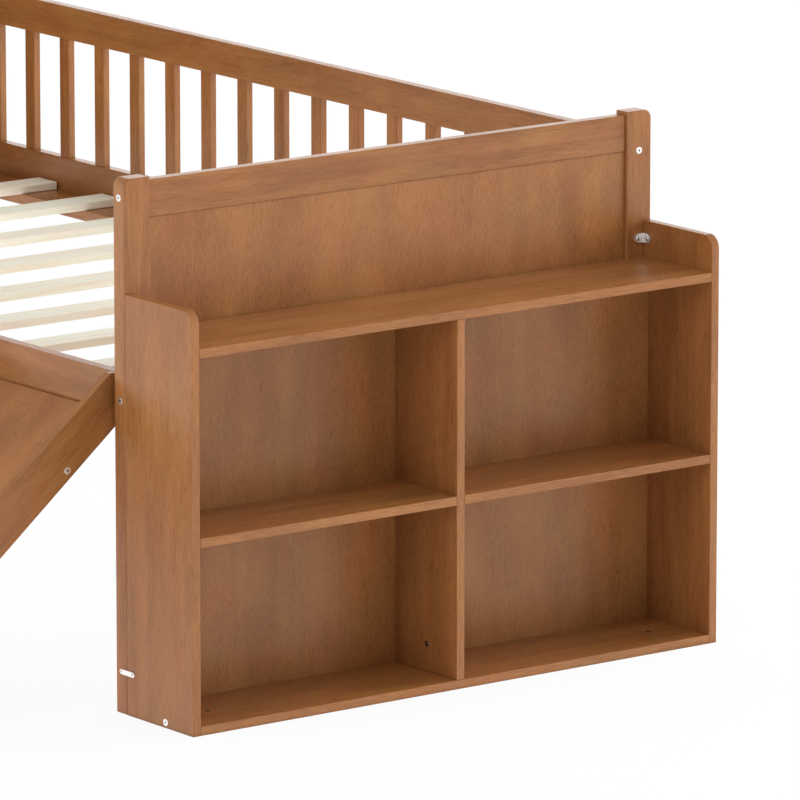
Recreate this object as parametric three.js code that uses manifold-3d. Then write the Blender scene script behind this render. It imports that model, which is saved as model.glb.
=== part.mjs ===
// Low loft bed with a slide, a ladder and a bookcase across its foot.
// Millimetres, +Z up. The bed lies along X: the head is at -X, and the foot and the bookcase at +X.
// The slide and the ladder are on the front, at -Y. The origin is at the middle of the footprint, on the floor.

import * as THREE from "three";
import { mergeVertices } from "three/addons/utils/BufferGeometryUtils.js";
import Module from "manifold-3d";

const wasm = await Module();
wasm.setup();

// The bed as a whole: the clear length between its end frames, and the width over its posts
const INNER_LENGTH = 1922;
const BED_WIDTH = 1055;

// Clearance left at every seat, and the length by which a cut runs past the face it opens
const FIT = 0.3;
const OVERRUN = 1;

// Corner posts
const POST_DEEP = 30;
const POST_WIDE = 50;
const POST_HEIGHT = 863;
const POST_TOP_RADIUS = 13;

// Rails and panel of the end frames
const RAIL_THICK = 20;
const TOP_RAIL_TALL = 60;
const TOP_RAIL_DROP = 6;
const LOW_RAIL_TALL = 60;
const LOW_RAIL_TOP = 532;
const END_PANEL_THICK = 15;
const TONGUE_THICK = 8;
const TONGUE_LONG = 6;

// Side rails, and the ledgers that carry the slats
const SIDE_RAIL_TOP = 546;
const SIDE_RAIL_TALL = 80;
const LEDGER_WIDE = 78;
const LEDGER_THICK = 20;

// Slats
const SLAT_COUNT = 10;
const SLAT_WIDE = 57;
const SLAT_THICK = 14;
const SLAT_END_GAP = 4;
const SLAT_END_SPACE = 41.5;

// Guard rails and their spindles
const GUARD_DROP = 41;
const GUARD_RAIL_TALL = 60;
const SPINDLE_WIDE = 28;
const SPINDLE_THICK = 14;
const REAR_SPINDLES = 17;
const FRONT_SPINDLES = 8;
const TENON_WIDE = 17;
const TENON_THICK = 8;
const TENON_LONG = 10;
const GUARD_FOOT_TALL = 30;
const GUARD_STILE_WIDE = 40;

// Slide
const SLIDE_ANGLE = THREE.MathUtils.degToRad(39.65);
const SLIDE_WIDTH = 430;
const SLIDE_POST_GAP = 13;
const SLIDE_SIDE_THICK = 15;
const SLIDE_SIDE_WIDE = 73;
const SLIDE_LAND = 14;
const SLIDE_NOSE_TALL = 50;
const SLIDE_NOSE_RADIUS = 20;
const SLIDE_BED_INSET = 53.5;
const SLIDE_BED_THICK = 12;
const SLIDE_BED_GAP = 6.5;
const SLIDE_BED_LIFT = 2;
const SLIDE_TOE_TALL = 14;
const SLIDE_GROOVE_DEEP = 6;
const SLIDE_BOLTS = 3;
const SLIDE_BOLT_FIRST = 156.5;
const SLIDE_BOLT_PITCH = 240;

// Ladder
const LADDER_WIDTH = 420;
const LADDER_POST_GAP = 13;
const LADDER_STILE_THICK = 20;
const LADDER_STILE_DEEP = 80;
const TREAD_COUNT = 2;
const TREAD_THICK = 20;
const TREAD_SETBACK = 4;
const TREAD_HOUSING = 6;

// Bookcase
const CASE_DEEP = 179;
const CASE_TALL = 680;
const CASE_BOARD = 15;
const CASE_CORNER_RADIUS = 22;
const CASE_TRAY_DEEP = 60;
const CASE_BACK_THICK = 5;
const CASE_BACK_SETBACK = 9;
const CASE_GROOVE_DEEP = 5;
const CASE_BOLT_SETBACK = 75;
const CASE_BOLT_RISE = 2;
const CASE_NUT_INSET = 67;
const DIVIDER_BOLT_SETBACK = 80;

// Steel corner brackets between the bookcase and the posts
const BRACKET_WING = 20;
const BRACKET_TALL = 16;
const BRACKET_THICK = 2;
const BRACKET_DROP = 21;
const BRACKET_HOLE_RADIUS = 2;

// Bolts with barrel nuts, and wood screws
const BOLT_RADIUS = 3.5;
const BOLT_HEAD_RADIUS = 5.7;
const BOLT_HEAD_DEEP = 3;
const BOLT_REACH = 70;
const BOLT_RISE = 5;
const SIDE_BOLT_RISE = 8;
const SIDE_BOLT_SPREAD = 16;
const BARREL_RADIUS = 5;
const BARREL_INSET = 60;
const SCREW_RADIUS = 2.3;
const SCREW_HEAD_RADIUS = 4.5;
const SCREW_HEAD_DEEP = 4;
const SCREW_REACH = 35;

// Segments of the round shapes
const CORNER_SEGMENTS = 6;
const HOLE_SEGMENTS = 8;

// Places that follow from the sizes above
const FOOT_FRAME_X = POST_DEEP + INNER_LENGTH;
const CASE_X = FOOT_FRAME_X + POST_DEEP + FIT;
const RAIL_FRONT_Y = (POST_WIDE - RAIL_THICK) / 2;
const REAR_RAIL_Y = BED_WIDTH - RAIL_FRONT_Y - RAIL_THICK;
const SIDE_RAIL_BOTTOM = SIDE_RAIL_TOP - SIDE_RAIL_TALL;
const LEDGER_TOP = SIDE_RAIL_BOTTOM + LEDGER_THICK;
const TOP_RAIL_BOTTOM = POST_HEIGHT - TOP_RAIL_DROP - TOP_RAIL_TALL;
const LOW_RAIL_BOTTOM = LOW_RAIL_TOP - LOW_RAIL_TALL;
const GUARD_TOP = POST_HEIGHT - GUARD_DROP;
const GUARD_RAIL_BOTTOM = GUARD_TOP - GUARD_RAIL_TALL;
const SIDE_RAIL_LENGTH = INNER_LENGTH - 2 * FIT;
const CROSS_LENGTH = BED_WIDTH - 2 * POST_WIDE - 2 * FIT;
const HUNG_SCREW_Z = (LEDGER_TOP + SIDE_RAIL_TOP) / 2;

const stainedWood = new THREE.MeshStandardMaterial({ color: 0xb07a52, roughness: 0.5, metalness: 0 });
const stainedPanel = new THREE.MeshStandardMaterial({ color: 0xa87048, roughness: 0.5, metalness: 0 });
const bareWood = new THREE.MeshStandardMaterial({ color: 0xe9e2cc, roughness: 0.75, metalness: 0 });
const zincSteel = new THREE.MeshStandardMaterial({ color: 0xb9b6ae, roughness: 0.35, metalness: 0.9 });

// A closed three.js geometry as a solid that can be cut and joined
function solidOf(geometry) {
  const bare = geometry.clone();
  bare.deleteAttribute("normal");
  bare.deleteAttribute("uv");
  const merged = mergeVertices(bare);
  const mesh = { numProp: 3, vertProperties: merged.attributes.position.array, triVerts: merged.index.array };
  return new wasm.Manifold(new wasm.Mesh(mesh));
}

// The finished solid as a named mesh, with its own corner at the given place
function part(name, material, solid, x, y, z) {
  const { vertProperties, triVerts } = solid.getMesh();
  const geometry = new THREE.BufferGeometry();
  geometry.setAttribute("position", new THREE.BufferAttribute(vertProperties, 3));
  geometry.setIndex(new THREE.BufferAttribute(triVerts, 1));
  geometry.computeVertexNormals();
  const mesh = new THREE.Mesh(geometry, material.clone());
  mesh.name = name;
  mesh.position.set(x, y, z);
  return mesh;
}

function groupAt(x, y, z, meshes) {
  const group = new THREE.Group();
  group.position.set(x, y, z);
  group.add(...meshes);
  return group;
}

// A board with its low corner at x, y, z
function board(sizeX, sizeY, sizeZ, x = 0, y = 0, z = 0) {
  const box = new THREE.BoxGeometry(sizeX, sizeY, sizeZ);
  box.translate(x + sizeX / 2, y + sizeY / 2, z + sizeZ / 2);
  return solidOf(box);
}

// A round rod that starts at a point and runs along a direction
function rod(radius, length, start, direction) {
  const cylinder = new THREE.CylinderGeometry(radius, radius, length, HOLE_SEGMENTS);
  cylinder.translate(0, length / 2, 0);
  const turn = new THREE.Quaternion().setFromUnitVectors(new THREE.Vector3(0, 1, 0), direction);
  cylinder.applyQuaternion(turn);
  cylinder.translate(start.x, start.y, start.z);
  return solidOf(cylinder);
}

// The hole for a bolt or screw: its head's pocket below the face, and the shank on through and past it
function headedHole(face, direction, headRadius, headDeep, shankRadius, reach) {
  const outside = face.clone().addScaledVector(direction, -OVERRUN);
  const pocket = rod(headRadius, headDeep + OVERRUN, outside, direction);
  return pocket.add(rod(shankRadius, reach + OVERRUN, outside, direction));
}

function boltHole(face, direction, thickness) {
  return headedHole(face, direction, BOLT_HEAD_RADIUS, BOLT_HEAD_DEEP, BOLT_RADIUS, thickness + OVERRUN);
}

function screwHole(face, direction, thickness) {
  return headedHole(face, direction, SCREW_HEAD_RADIUS, SCREW_HEAD_DEEP, SCREW_RADIUS, thickness + OVERRUN);
}

// The hole in a board's end for a bolt's shank
function endHole(end, direction) {
  const outside = end.clone().addScaledVector(direction, -OVERRUN);
  return rod(BOLT_RADIUS, BOLT_REACH + OVERRUN, outside, direction);
}

// The cross hole for a barrel nut, let in from one face to a little past the bolt in the board's middle
function barrelHole(face, direction, thickness) {
  const outside = face.clone().addScaledVector(direction, -OVERRUN);
  return rod(BARREL_RADIUS, OVERRUN + thickness / 2 + BARREL_RADIUS, outside, direction);
}

function cutAll(solid, cutters) {
  return cutters.reduce((rest, cutter) => rest.subtract(cutter), solid);
}

const vector = (x, y, z) => new THREE.Vector3(x, y, z);
const ALONG_X = vector(1, 0, 0);
const ALONG_Y = vector(0, 1, 0);
const UP = vector(0, 0, 1);
const reversed = (direction) => direction.clone().negate();

// An outline drawn in Y and Z, as a solid that runs along X
function extrudeAlongX(outline, x, length) {
  const geometry = new THREE.ExtrudeGeometry(outline, {
    depth: length,
    bevelEnabled: false,
    curveSegments: CORNER_SEGMENTS,
  });
  geometry.applyMatrix4(new THREE.Matrix4().makeBasis(ALONG_Y, UP, ALONG_X));
  geometry.translate(x, 0, 0);
  return solidOf(geometry);
}

// An outline drawn in X and Z, as a solid that runs along Y
function extrudeAlongY(outline, y, length) {
  const geometry = new THREE.ExtrudeGeometry(outline, {
    depth: length,
    bevelEnabled: false,
    curveSegments: CORNER_SEGMENTS,
  });
  geometry.applyMatrix4(new THREE.Matrix4().makeBasis(ALONG_X, UP, reversed(ALONG_Y)));
  geometry.translate(0, y + length, 0);
  return solidOf(geometry);
}

// A rectangle that stands on zero, with one top corner rounded: the low one or the high one
function roundedUpright(wide, tall, radius, roundLow) {
  const outline = new THREE.Shape();
  outline.moveTo(0, 0);
  outline.lineTo(wide, 0);
  if (roundLow) {
    outline.lineTo(wide, tall);
    outline.lineTo(radius, tall);
    outline.absarc(radius, tall - radius, radius, Math.PI / 2, Math.PI, false);
  } else {
    outline.lineTo(wide, tall - radius);
    outline.absarc(wide - radius, tall - radius, radius, 0, Math.PI / 2, false);
    outline.lineTo(0, tall);
  }
  return outline;
}

// Heights of the bolts that hold the rails to the posts
const TOP_RAIL_BOLT_Z = TOP_RAIL_BOTTOM + TOP_RAIL_TALL / 2 + BOLT_RISE;
const LOW_RAIL_BOLT_Z = LOW_RAIL_BOTTOM + LOW_RAIL_TALL / 2 + BOLT_RISE;
const GUARD_BOLT_Z = GUARD_RAIL_BOTTOM + GUARD_RAIL_TALL / 2 + BOLT_RISE;
const SIDE_BOLTS_Z = SIDE_RAIL_BOTTOM + SIDE_RAIL_TALL / 2 + SIDE_BOLT_RISE;
const SIDE_BOLT_ZS = [SIDE_BOLTS_Z - SIDE_BOLT_SPREAD, SIDE_BOLTS_Z + SIDE_BOLT_SPREAD];

// A corner post: rounded outer top corner, a stopped groove for the end panel, and its bolt holes
function post(name, isRear, outward) {
  const upright = extrudeAlongX(roundedUpright(POST_WIDE, POST_HEIGHT, POST_TOP_RADIUS, !isRear), 0, POST_DEEP);
  const grooveWide = TONGUE_THICK + 2 * FIT;
  const grooveDeep = TONGUE_LONG + FIT;
  const grooveTall = TOP_RAIL_BOTTOM - LOW_RAIL_TOP + 2 * grooveDeep;
  const grooveX = (POST_DEEP - grooveWide) / 2;
  const grooveY = isRear ? -OVERRUN : POST_WIDE - grooveDeep;
  const groove = board(
    grooveWide, grooveDeep + OVERRUN, grooveTall,
    grooveX, grooveY, LOW_RAIL_TOP - grooveDeep,
  );
  const outerY = isRear ? POST_WIDE : 0;
  const inward = isRear ? reversed(ALONG_Y) : ALONG_Y;
  const crossHoles = [TOP_RAIL_BOLT_Z, LOW_RAIL_BOLT_Z].map((z) =>
    boltHole(vector(POST_DEEP / 2, outerY, z), inward, POST_WIDE));
  const outerX = outward > 0 ? POST_DEEP : 0;
  const lengthwise = outward > 0 ? reversed(ALONG_X) : ALONG_X;
  const heights = isRear ? [...SIDE_BOLT_ZS, GUARD_BOLT_Z] : SIDE_BOLT_ZS;
  const lengthHoles = heights.map((z) =>
    boltHole(vector(outerX, POST_WIDE / 2, z), lengthwise, POST_DEEP));
  const solid = cutAll(upright, [groove, ...crossHoles, ...lengthHoles]);
  return part(name, stainedWood, solid, 0, isRear ? BED_WIDTH - POST_WIDE : 0, 0);
}

// A rail that crosses an end frame, grooved for the panel and drilled for a bolt at each end. The barrel nuts'
// holes are in its inner face, towards the mattress.
function crossRail(name, tall, bottom, grooveOnTop, outward) {
  const rail = board(RAIL_THICK, CROSS_LENGTH, tall);
  const grooveWide = TONGUE_THICK + 2 * FIT;
  const grooveDeep = TONGUE_LONG + FIT;
  const grooveZ = grooveOnTop ? tall - grooveDeep : -OVERRUN;
  const groove = board(
    grooveWide, CROSS_LENGTH + 2 * OVERRUN, grooveDeep + OVERRUN,
    (RAIL_THICK - grooveWide) / 2, -OVERRUN, grooveZ,
  );
  const boltZ = tall / 2 + BOLT_RISE;
  const innerX = outward > 0 ? 0 : RAIL_THICK;
  const intoRail = outward > 0 ? ALONG_X : reversed(ALONG_X);
  const holes = [
    endHole(vector(RAIL_THICK / 2, 0, boltZ), ALONG_Y),
    endHole(vector(RAIL_THICK / 2, CROSS_LENGTH, boltZ), reversed(ALONG_Y)),
    barrelHole(vector(innerX, BARREL_INSET, boltZ), intoRail, RAIL_THICK),
    barrelHole(vector(innerX, CROSS_LENGTH - BARREL_INSET, boltZ), intoRail, RAIL_THICK),
  ];
  const solid = cutAll(rail, [groove, ...holes]);
  return part(name, stainedWood, solid, (POST_DEEP - RAIL_THICK) / 2, POST_WIDE + FIT, bottom);
}

// The panel between the cross rails, with a tongue all round that lies in the grooves
function endPanel(name) {
  const tall = TOP_RAIL_BOTTOM - LOW_RAIL_TOP - 2 * FIT;
  const face = board(END_PANEL_THICK, CROSS_LENGTH, tall);
  const tongue = board(
    TONGUE_THICK, CROSS_LENGTH + 2 * TONGUE_LONG, tall + 2 * TONGUE_LONG,
    (END_PANEL_THICK - TONGUE_THICK) / 2, -TONGUE_LONG, -TONGUE_LONG,
  );
  const x = (POST_DEEP - END_PANEL_THICK) / 2;
  return part(name, stainedPanel, face.add(tongue), x, POST_WIDE + FIT, LOW_RAIL_TOP + FIT);
}

function endFrame(end, x, outward) {
  return groupAt(x, 0, 0, [
    post(`post_${end}_front`, false, outward),
    post(`post_${end}_rear`, true, outward),
    crossRail(`${end}_top_rail`, TOP_RAIL_TALL, TOP_RAIL_BOTTOM, false, outward),
    crossRail(`${end}_low_rail`, LOW_RAIL_TALL, LOW_RAIL_BOTTOM, true, outward),
    endPanel(`${end}_panel`),
  ]);
}

// Holes in both ends of a lengthwise rail, for bolts at the given heights above its underside. The barrel nuts'
// holes are in its inner face, towards the mattress.
function lengthwiseBoltHoles(heights, isRear) {
  const middleY = RAIL_THICK / 2;
  const innerY = isRear ? 0 : RAIL_THICK;
  const intoRail = isRear ? ALONG_Y : reversed(ALONG_Y);
  return heights.flatMap((z) => [
    endHole(vector(0, middleY, z), ALONG_X),
    endHole(vector(SIDE_RAIL_LENGTH, middleY, z), reversed(ALONG_X)),
    barrelHole(vector(BARREL_INSET, innerY, z), intoRail, RAIL_THICK),
    barrelHole(vector(SIDE_RAIL_LENGTH - BARREL_INSET, innerY, z), intoRail, RAIL_THICK),
  ]);
}

// Low edges of like pieces that stand in a row with equal gaps, the ends included
function evenRow(count, wide, start, end) {
  const gap = (end - start - count * wide) / (count + 1);
  return Array.from({ length: count }, (_, index) => start + gap + index * (wide + gap));
}

const REAR_SPINDLE_XS = evenRow(REAR_SPINDLES, SPINDLE_WIDE, POST_DEEP, FOOT_FRAME_X);

// Pockets for the spindles' tenons, in a rail that starts FIT past the head posts
function tenonPockets(z) {
  const pocketWide = TENON_WIDE + 2 * FIT;
  const pocketThick = TENON_THICK + 2 * FIT;
  const pocketDeep = TENON_LONG + FIT;
  return REAR_SPINDLE_XS.map((x) => board(
    pocketWide, pocketThick, pocketDeep + OVERRUN,
    x - POST_DEEP - FIT + (SPINDLE_WIDE - pocketWide) / 2, (RAIL_THICK - pocketThick) / 2, z,
  ));
}

// Middle lines of the slide's sides and the ladder's stiles, where they meet the front rail
const SLIDE_FOOT_X = FOOT_FRAME_X - SLIDE_POST_GAP;
const SLIDE_HEAD_X = SLIDE_FOOT_X - SLIDE_WIDTH;
const LADDER_HEAD_X = POST_DEEP + LADDER_POST_GAP;
const LADDER_FOOT_X = LADDER_HEAD_X + LADDER_WIDTH;
const HUNG_MIDDLE_XS = [
  SLIDE_FOOT_X - SLIDE_SIDE_THICK / 2,
  SLIDE_HEAD_X + SLIDE_SIDE_THICK / 2,
  LADDER_HEAD_X + LADDER_STILE_THICK / 2,
  LADDER_FOOT_X - LADDER_STILE_THICK / 2,
];

// The front guard stands between the ladder and the slide
const GUARD_FRONT_X = LADDER_FOOT_X;
const GUARD_FRONT_LENGTH = SLIDE_HEAD_X - LADDER_FOOT_X;
const FRONT_SPINDLE_XS = evenRow(
  FRONT_SPINDLES, SPINDLE_WIDE, GUARD_STILE_WIDE, GUARD_FRONT_LENGTH - GUARD_STILE_WIDE,
);
const GUARD_SCREW_XS = [1, FRONT_SPINDLES / 2, FRONT_SPINDLES - 1].map((index) =>
  (FRONT_SPINDLE_XS[index - 1] + SPINDLE_WIDE + FRONT_SPINDLE_XS[index]) / 2);

// The side rail across the front, drilled for the slide's and the ladder's screws and for the guard's
function frontRail() {
  const rail = board(SIDE_RAIL_LENGTH, RAIL_THICK, SIDE_RAIL_TALL);
  const railX = POST_DEEP + FIT;
  const hungHoles = HUNG_MIDDLE_XS.map((x) => {
    const face = vector(x - railX, RAIL_THICK, HUNG_SCREW_Z - SIDE_RAIL_BOTTOM);
    return screwHole(face, reversed(ALONG_Y), RAIL_THICK);
  });
  const guardHoles = GUARD_SCREW_XS.map((x) => {
    const top = vector(GUARD_FRONT_X + x - railX, RAIL_THICK / 2, SIDE_RAIL_TALL + OVERRUN);
    return rod(SCREW_RADIUS, SCREW_REACH + OVERRUN, top, reversed(UP));
  });
  const bolts = lengthwiseBoltHoles(SIDE_BOLT_ZS.map((z) => z - SIDE_RAIL_BOTTOM), false);
  const solid = cutAll(rail, [...bolts, ...hungHoles, ...guardHoles]);
  return part("side_rail_front", stainedWood, solid, railX, RAIL_FRONT_Y, SIDE_RAIL_BOTTOM);
}

// The side rail across the rear, with pockets in its top edge for the spindles
function rearRail() {
  const rail = board(SIDE_RAIL_LENGTH, RAIL_THICK, SIDE_RAIL_TALL);
  const bolts = lengthwiseBoltHoles(SIDE_BOLT_ZS.map((z) => z - SIDE_RAIL_BOTTOM), true);
  const pockets = tenonPockets(SIDE_RAIL_TALL - TENON_LONG - FIT);
  const solid = cutAll(rail, [...bolts, ...pockets]);
  return part("side_rail_rear", stainedWood, solid, POST_DEEP + FIT, REAR_RAIL_Y, SIDE_RAIL_BOTTOM);
}

// A ledger lies flat against a side rail, flush with its lower edge
function ledger(name, y) {
  const solid = board(SIDE_RAIL_LENGTH, LEDGER_WIDE, LEDGER_THICK);
  return part(name, stainedWood, solid, POST_DEEP + FIT, y, SIDE_RAIL_BOTTOM);
}

function slats() {
  const startY = RAIL_FRONT_Y + RAIL_THICK + SLAT_END_GAP;
  const length = REAR_RAIL_Y - SLAT_END_GAP - startY;
  const firstX = POST_DEEP + SLAT_END_SPACE;
  const pitch = (INNER_LENGTH - 2 * SLAT_END_SPACE - SLAT_WIDE) / (SLAT_COUNT - 1);
  return Array.from({ length: SLAT_COUNT }, (_, index) => {
    const solid = board(SLAT_WIDE, length, SLAT_THICK);
    const name = `slat_${String(index + 1).padStart(2, "0")}`;
    return part(name, bareWood, solid, firstX + index * pitch, startY, LEDGER_TOP + FIT);
  });
}

// The rear guard: a top rail, and spindles tenoned into it and into the side rail below
function rearGuard() {
  const rail = board(SIDE_RAIL_LENGTH, RAIL_THICK, GUARD_RAIL_TALL);
  const bolts = lengthwiseBoltHoles([GUARD_BOLT_Z - GUARD_RAIL_BOTTOM], true);
  const railSolid = cutAll(rail, [...bolts, ...tenonPockets(-OVERRUN)]);
  const spindleTall = GUARD_RAIL_BOTTOM - SIDE_RAIL_TOP - 2 * FIT;
  const spindles = REAR_SPINDLE_XS.map((x, index) => {
    const blank = board(SPINDLE_WIDE, SPINDLE_THICK, spindleTall);
    const tenons = board(
      TENON_WIDE, TENON_THICK, spindleTall + 2 * TENON_LONG,
      (SPINDLE_WIDE - TENON_WIDE) / 2, (SPINDLE_THICK - TENON_THICK) / 2, -TENON_LONG,
    );
    const name = `guard_spindle_${String(index + 1).padStart(2, "0")}`;
    const y = REAR_RAIL_Y + (RAIL_THICK - SPINDLE_THICK) / 2;
    return part(name, stainedWood, blank.add(tenons), x, y, SIDE_RAIL_TOP + FIT);
  });
  const railX = POST_DEEP + FIT;
  return [part("guard_rear_top_rail", stainedWood, railSolid, railX, REAR_RAIL_Y, GUARD_RAIL_BOTTOM), ...spindles];
}

// The front guard is one glued panel: a foot rail, two stiles, spindles and a top rail
function frontGuard() {
  const tall = GUARD_TOP - SIDE_RAIL_TOP - FIT;
  const stileX = GUARD_FRONT_LENGTH - GUARD_STILE_WIDE;
  const spindleY = (RAIL_THICK - SPINDLE_THICK) / 2;
  const spindleTall = tall - GUARD_RAIL_TALL - GUARD_FOOT_TALL + 2 * TENON_LONG;
  const pieces = [
    board(GUARD_FRONT_LENGTH, RAIL_THICK, GUARD_RAIL_TALL, 0, 0, tall - GUARD_RAIL_TALL),
    board(GUARD_STILE_WIDE, RAIL_THICK, tall),
    board(GUARD_STILE_WIDE, RAIL_THICK, tall, stileX, 0, 0),
    ...FRONT_SPINDLE_XS.map((x) =>
      board(SPINDLE_WIDE, SPINDLE_THICK, spindleTall, x, spindleY, GUARD_FOOT_TALL - TENON_LONG)),
  ];
  const foot = board(GUARD_FRONT_LENGTH, RAIL_THICK, GUARD_FOOT_TALL);
  const panel = pieces.reduce((whole, piece) => whole.add(piece), foot);
  const holes = GUARD_SCREW_XS.map((x) =>
    screwHole(vector(x, RAIL_THICK / 2, GUARD_FOOT_TALL), reversed(UP), GUARD_FOOT_TALL));
  const solid = cutAll(panel, holes);
  return part("guard_front_panel", stainedWood, solid, GUARD_FRONT_X, RAIL_FRONT_Y, SIDE_RAIL_TOP + FIT);
}

// Slide: heights along it, measured from the line of its sides' top edges
const SLIDE_TOP_Y = RAIL_FRONT_Y - SLIDE_LAND;
const SLIDE_END_Y = RAIL_FRONT_Y - FIT;
const SLOPE = Math.tan(SLIDE_ANGLE);
const SLIDE_NOSE_Y = SLIDE_TOP_Y - (SIDE_RAIL_TOP - SLIDE_NOSE_TALL) / SLOPE;

// Height of a line that runs the given distance below the top edge, at y; and y where it is at z
const slideLineZ = (y, below) => SIDE_RAIL_TOP + (y - SLIDE_TOP_Y) * SLOPE - below / Math.cos(SLIDE_ANGLE);
const slideLineY = (z, below) => SLIDE_TOP_Y + (z - SIDE_RAIL_TOP + below / Math.cos(SLIDE_ANGLE)) / SLOPE;

// A side's outline in Y and Z: level with the rail at the top, cut flat on the floor, its nose rounded
function slideSideOutline() {
  const topHalfAngle = (Math.PI / 2 - SLIDE_ANGLE) / 2;
  const trim = SLIDE_NOSE_RADIUS * Math.tan(topHalfAngle);
  const arcZ = SLIDE_NOSE_TALL - trim;
  const outline = new THREE.Shape();
  outline.moveTo(SLIDE_END_Y, SIDE_RAIL_TOP);
  outline.lineTo(SLIDE_TOP_Y, SIDE_RAIL_TOP);
  outline.lineTo(SLIDE_NOSE_Y + trim * Math.cos(SLIDE_ANGLE), SLIDE_NOSE_TALL + trim * Math.sin(SLIDE_ANGLE));
  outline.absarc(
    SLIDE_NOSE_Y + SLIDE_NOSE_RADIUS, arcZ, SLIDE_NOSE_RADIUS,
    Math.PI / 2 + SLIDE_ANGLE, Math.PI, false,
  );
  outline.lineTo(SLIDE_NOSE_Y, 0);
  outline.lineTo(slideLineY(0, SLIDE_SIDE_WIDE), 0);
  outline.lineTo(SLIDE_END_Y, slideLineZ(SLIDE_END_Y, SLIDE_SIDE_WIDE));
  return outline;
}

// The sliding board's outline in Y and Z, grown by a clearance for the groove that holds it
function slideBedOutline(grow) {
  const top = SLIDE_BED_INSET - grow;
  const under = SLIDE_BED_INSET + SLIDE_BED_THICK + grow;
  const headY = RAIL_FRONT_Y - SLIDE_BED_GAP + grow;
  const toeY = slideLineY(SLIDE_TOE_TALL, SLIDE_BED_INSET) - grow;
  const low = SLIDE_BED_LIFT - grow;
  const outline = new THREE.Shape();
  outline.moveTo(headY, slideLineZ(headY, top));
  outline.lineTo(toeY, slideLineZ(toeY, top));
  outline.lineTo(toeY, low);
  outline.lineTo(slideLineY(low, under), low);
  outline.lineTo(headY, slideLineZ(headY, under));
  return outline;
}

// Where the bolts through the sides meet the middle of the sliding board's edge, at x
function slideBoltPoints(x) {
  const below = SLIDE_BED_INSET + SLIDE_BED_THICK / 2;
  return Array.from({ length: SLIDE_BOLTS }, (_, index) => {
    const along = SLIDE_BOLT_FIRST + index * SLIDE_BOLT_PITCH;
    const y = SLIDE_TOP_Y - along * Math.cos(SLIDE_ANGLE) + below * Math.sin(SLIDE_ANGLE);
    const z = SIDE_RAIL_TOP - along * Math.sin(SLIDE_ANGLE) - below * Math.cos(SLIDE_ANGLE);
    return vector(x, y, z);
  });
}

// A side of the slide, in its own place across the bed: grooved on its inner face, bolts from its outer face
function slideSide(name, x, isFoot) {
  const side = extrudeAlongX(slideSideOutline(), 0, SLIDE_SIDE_THICK);
  const grooveX = isFoot ? -OVERRUN : SLIDE_SIDE_THICK - SLIDE_GROOVE_DEEP;
  const groove = extrudeAlongX(slideBedOutline(FIT), grooveX, SLIDE_GROOVE_DEEP + OVERRUN);
  const outerX = isFoot ? SLIDE_SIDE_THICK : 0;
  const inward = isFoot ? reversed(ALONG_X) : ALONG_X;
  const bolts = slideBoltPoints(outerX).map((point) => boltHole(point, inward, SLIDE_SIDE_THICK));
  const screwStart = vector(SLIDE_SIDE_THICK / 2, SLIDE_END_Y + OVERRUN, HUNG_SCREW_Z);
  const screw = rod(SCREW_RADIUS, SCREW_REACH + OVERRUN, screwStart, reversed(ALONG_Y));
  return part(name, stainedWood, cutAll(side, [groove, ...bolts, screw]), x, 0, 0);
}

// The sliding board, its edges in the sides' grooves, with barrel nuts let in from below
function slideBed() {
  const lap = SLIDE_GROOVE_DEEP - FIT;
  const width = SLIDE_WIDTH - 2 * SLIDE_SIDE_THICK + 2 * lap;
  const bed = extrudeAlongX(slideBedOutline(0), 0, width);
  const out = vector(0, Math.sin(SLIDE_ANGLE), -Math.cos(SLIDE_ANGLE));
  const edgeHoles = [
    ...slideBoltPoints(0).map((point) => endHole(point, ALONG_X)),
    ...slideBoltPoints(width).map((point) => endHole(point, reversed(ALONG_X))),
  ];
  const nutHoles = [BARREL_INSET, width - BARREL_INSET].flatMap((x) => slideBoltPoints(x).map((point) => {
    const start = point.clone().addScaledVector(out, -BARREL_RADIUS);
    return rod(BARREL_RADIUS, BARREL_RADIUS + SLIDE_BED_THICK / 2 + OVERRUN, start, out);
  }));
  const x = SLIDE_HEAD_X + SLIDE_SIDE_THICK - lap;
  return part("slide_bed", stainedPanel, cutAll(bed, [...edgeHoles, ...nutHoles]), x, 0, 0);
}

// Ladder: stiles on the floor, screwed to the front rail, with treads housed between them
const TREAD_DEEP = LADDER_STILE_DEEP - 2 * TREAD_SETBACK;
const TREAD_RISE = SIDE_RAIL_TOP / (TREAD_COUNT + 1);
const TREAD_ZS = Array.from({ length: TREAD_COUNT }, (_, index) => (index + 1) * TREAD_RISE - TREAD_THICK);

function ladderStile(name, x, isFoot) {
  const upright = roundedUpright(LADDER_STILE_DEEP, SIDE_RAIL_TOP, POST_TOP_RADIUS, true);
  const stile = extrudeAlongX(upright, 0, LADDER_STILE_THICK);
  const housingX = isFoot ? -OVERRUN : LADDER_STILE_THICK - TREAD_HOUSING;
  const housings = TREAD_ZS.map((z) => board(
    TREAD_HOUSING + OVERRUN, TREAD_DEEP + 2 * FIT, TREAD_THICK + 2 * FIT,
    housingX, TREAD_SETBACK - FIT, z - FIT,
  ));
  const screwStart = vector(LADDER_STILE_THICK / 2, LADDER_STILE_DEEP + OVERRUN, HUNG_SCREW_Z);
  const screw = rod(SCREW_RADIUS, SCREW_REACH + OVERRUN, screwStart, reversed(ALONG_Y));
  return part(name, stainedWood, cutAll(stile, [...housings, screw]), x, 0, 0);
}

function ladderTread(name, z) {
  const lap = TREAD_HOUSING - FIT;
  const length = LADDER_WIDTH - 2 * LADDER_STILE_THICK + 2 * lap;
  const solid = board(length, TREAD_DEEP, TREAD_THICK);
  return part(name, stainedWood, solid, LADDER_STILE_THICK - lap, TREAD_SETBACK, z);
}

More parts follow.
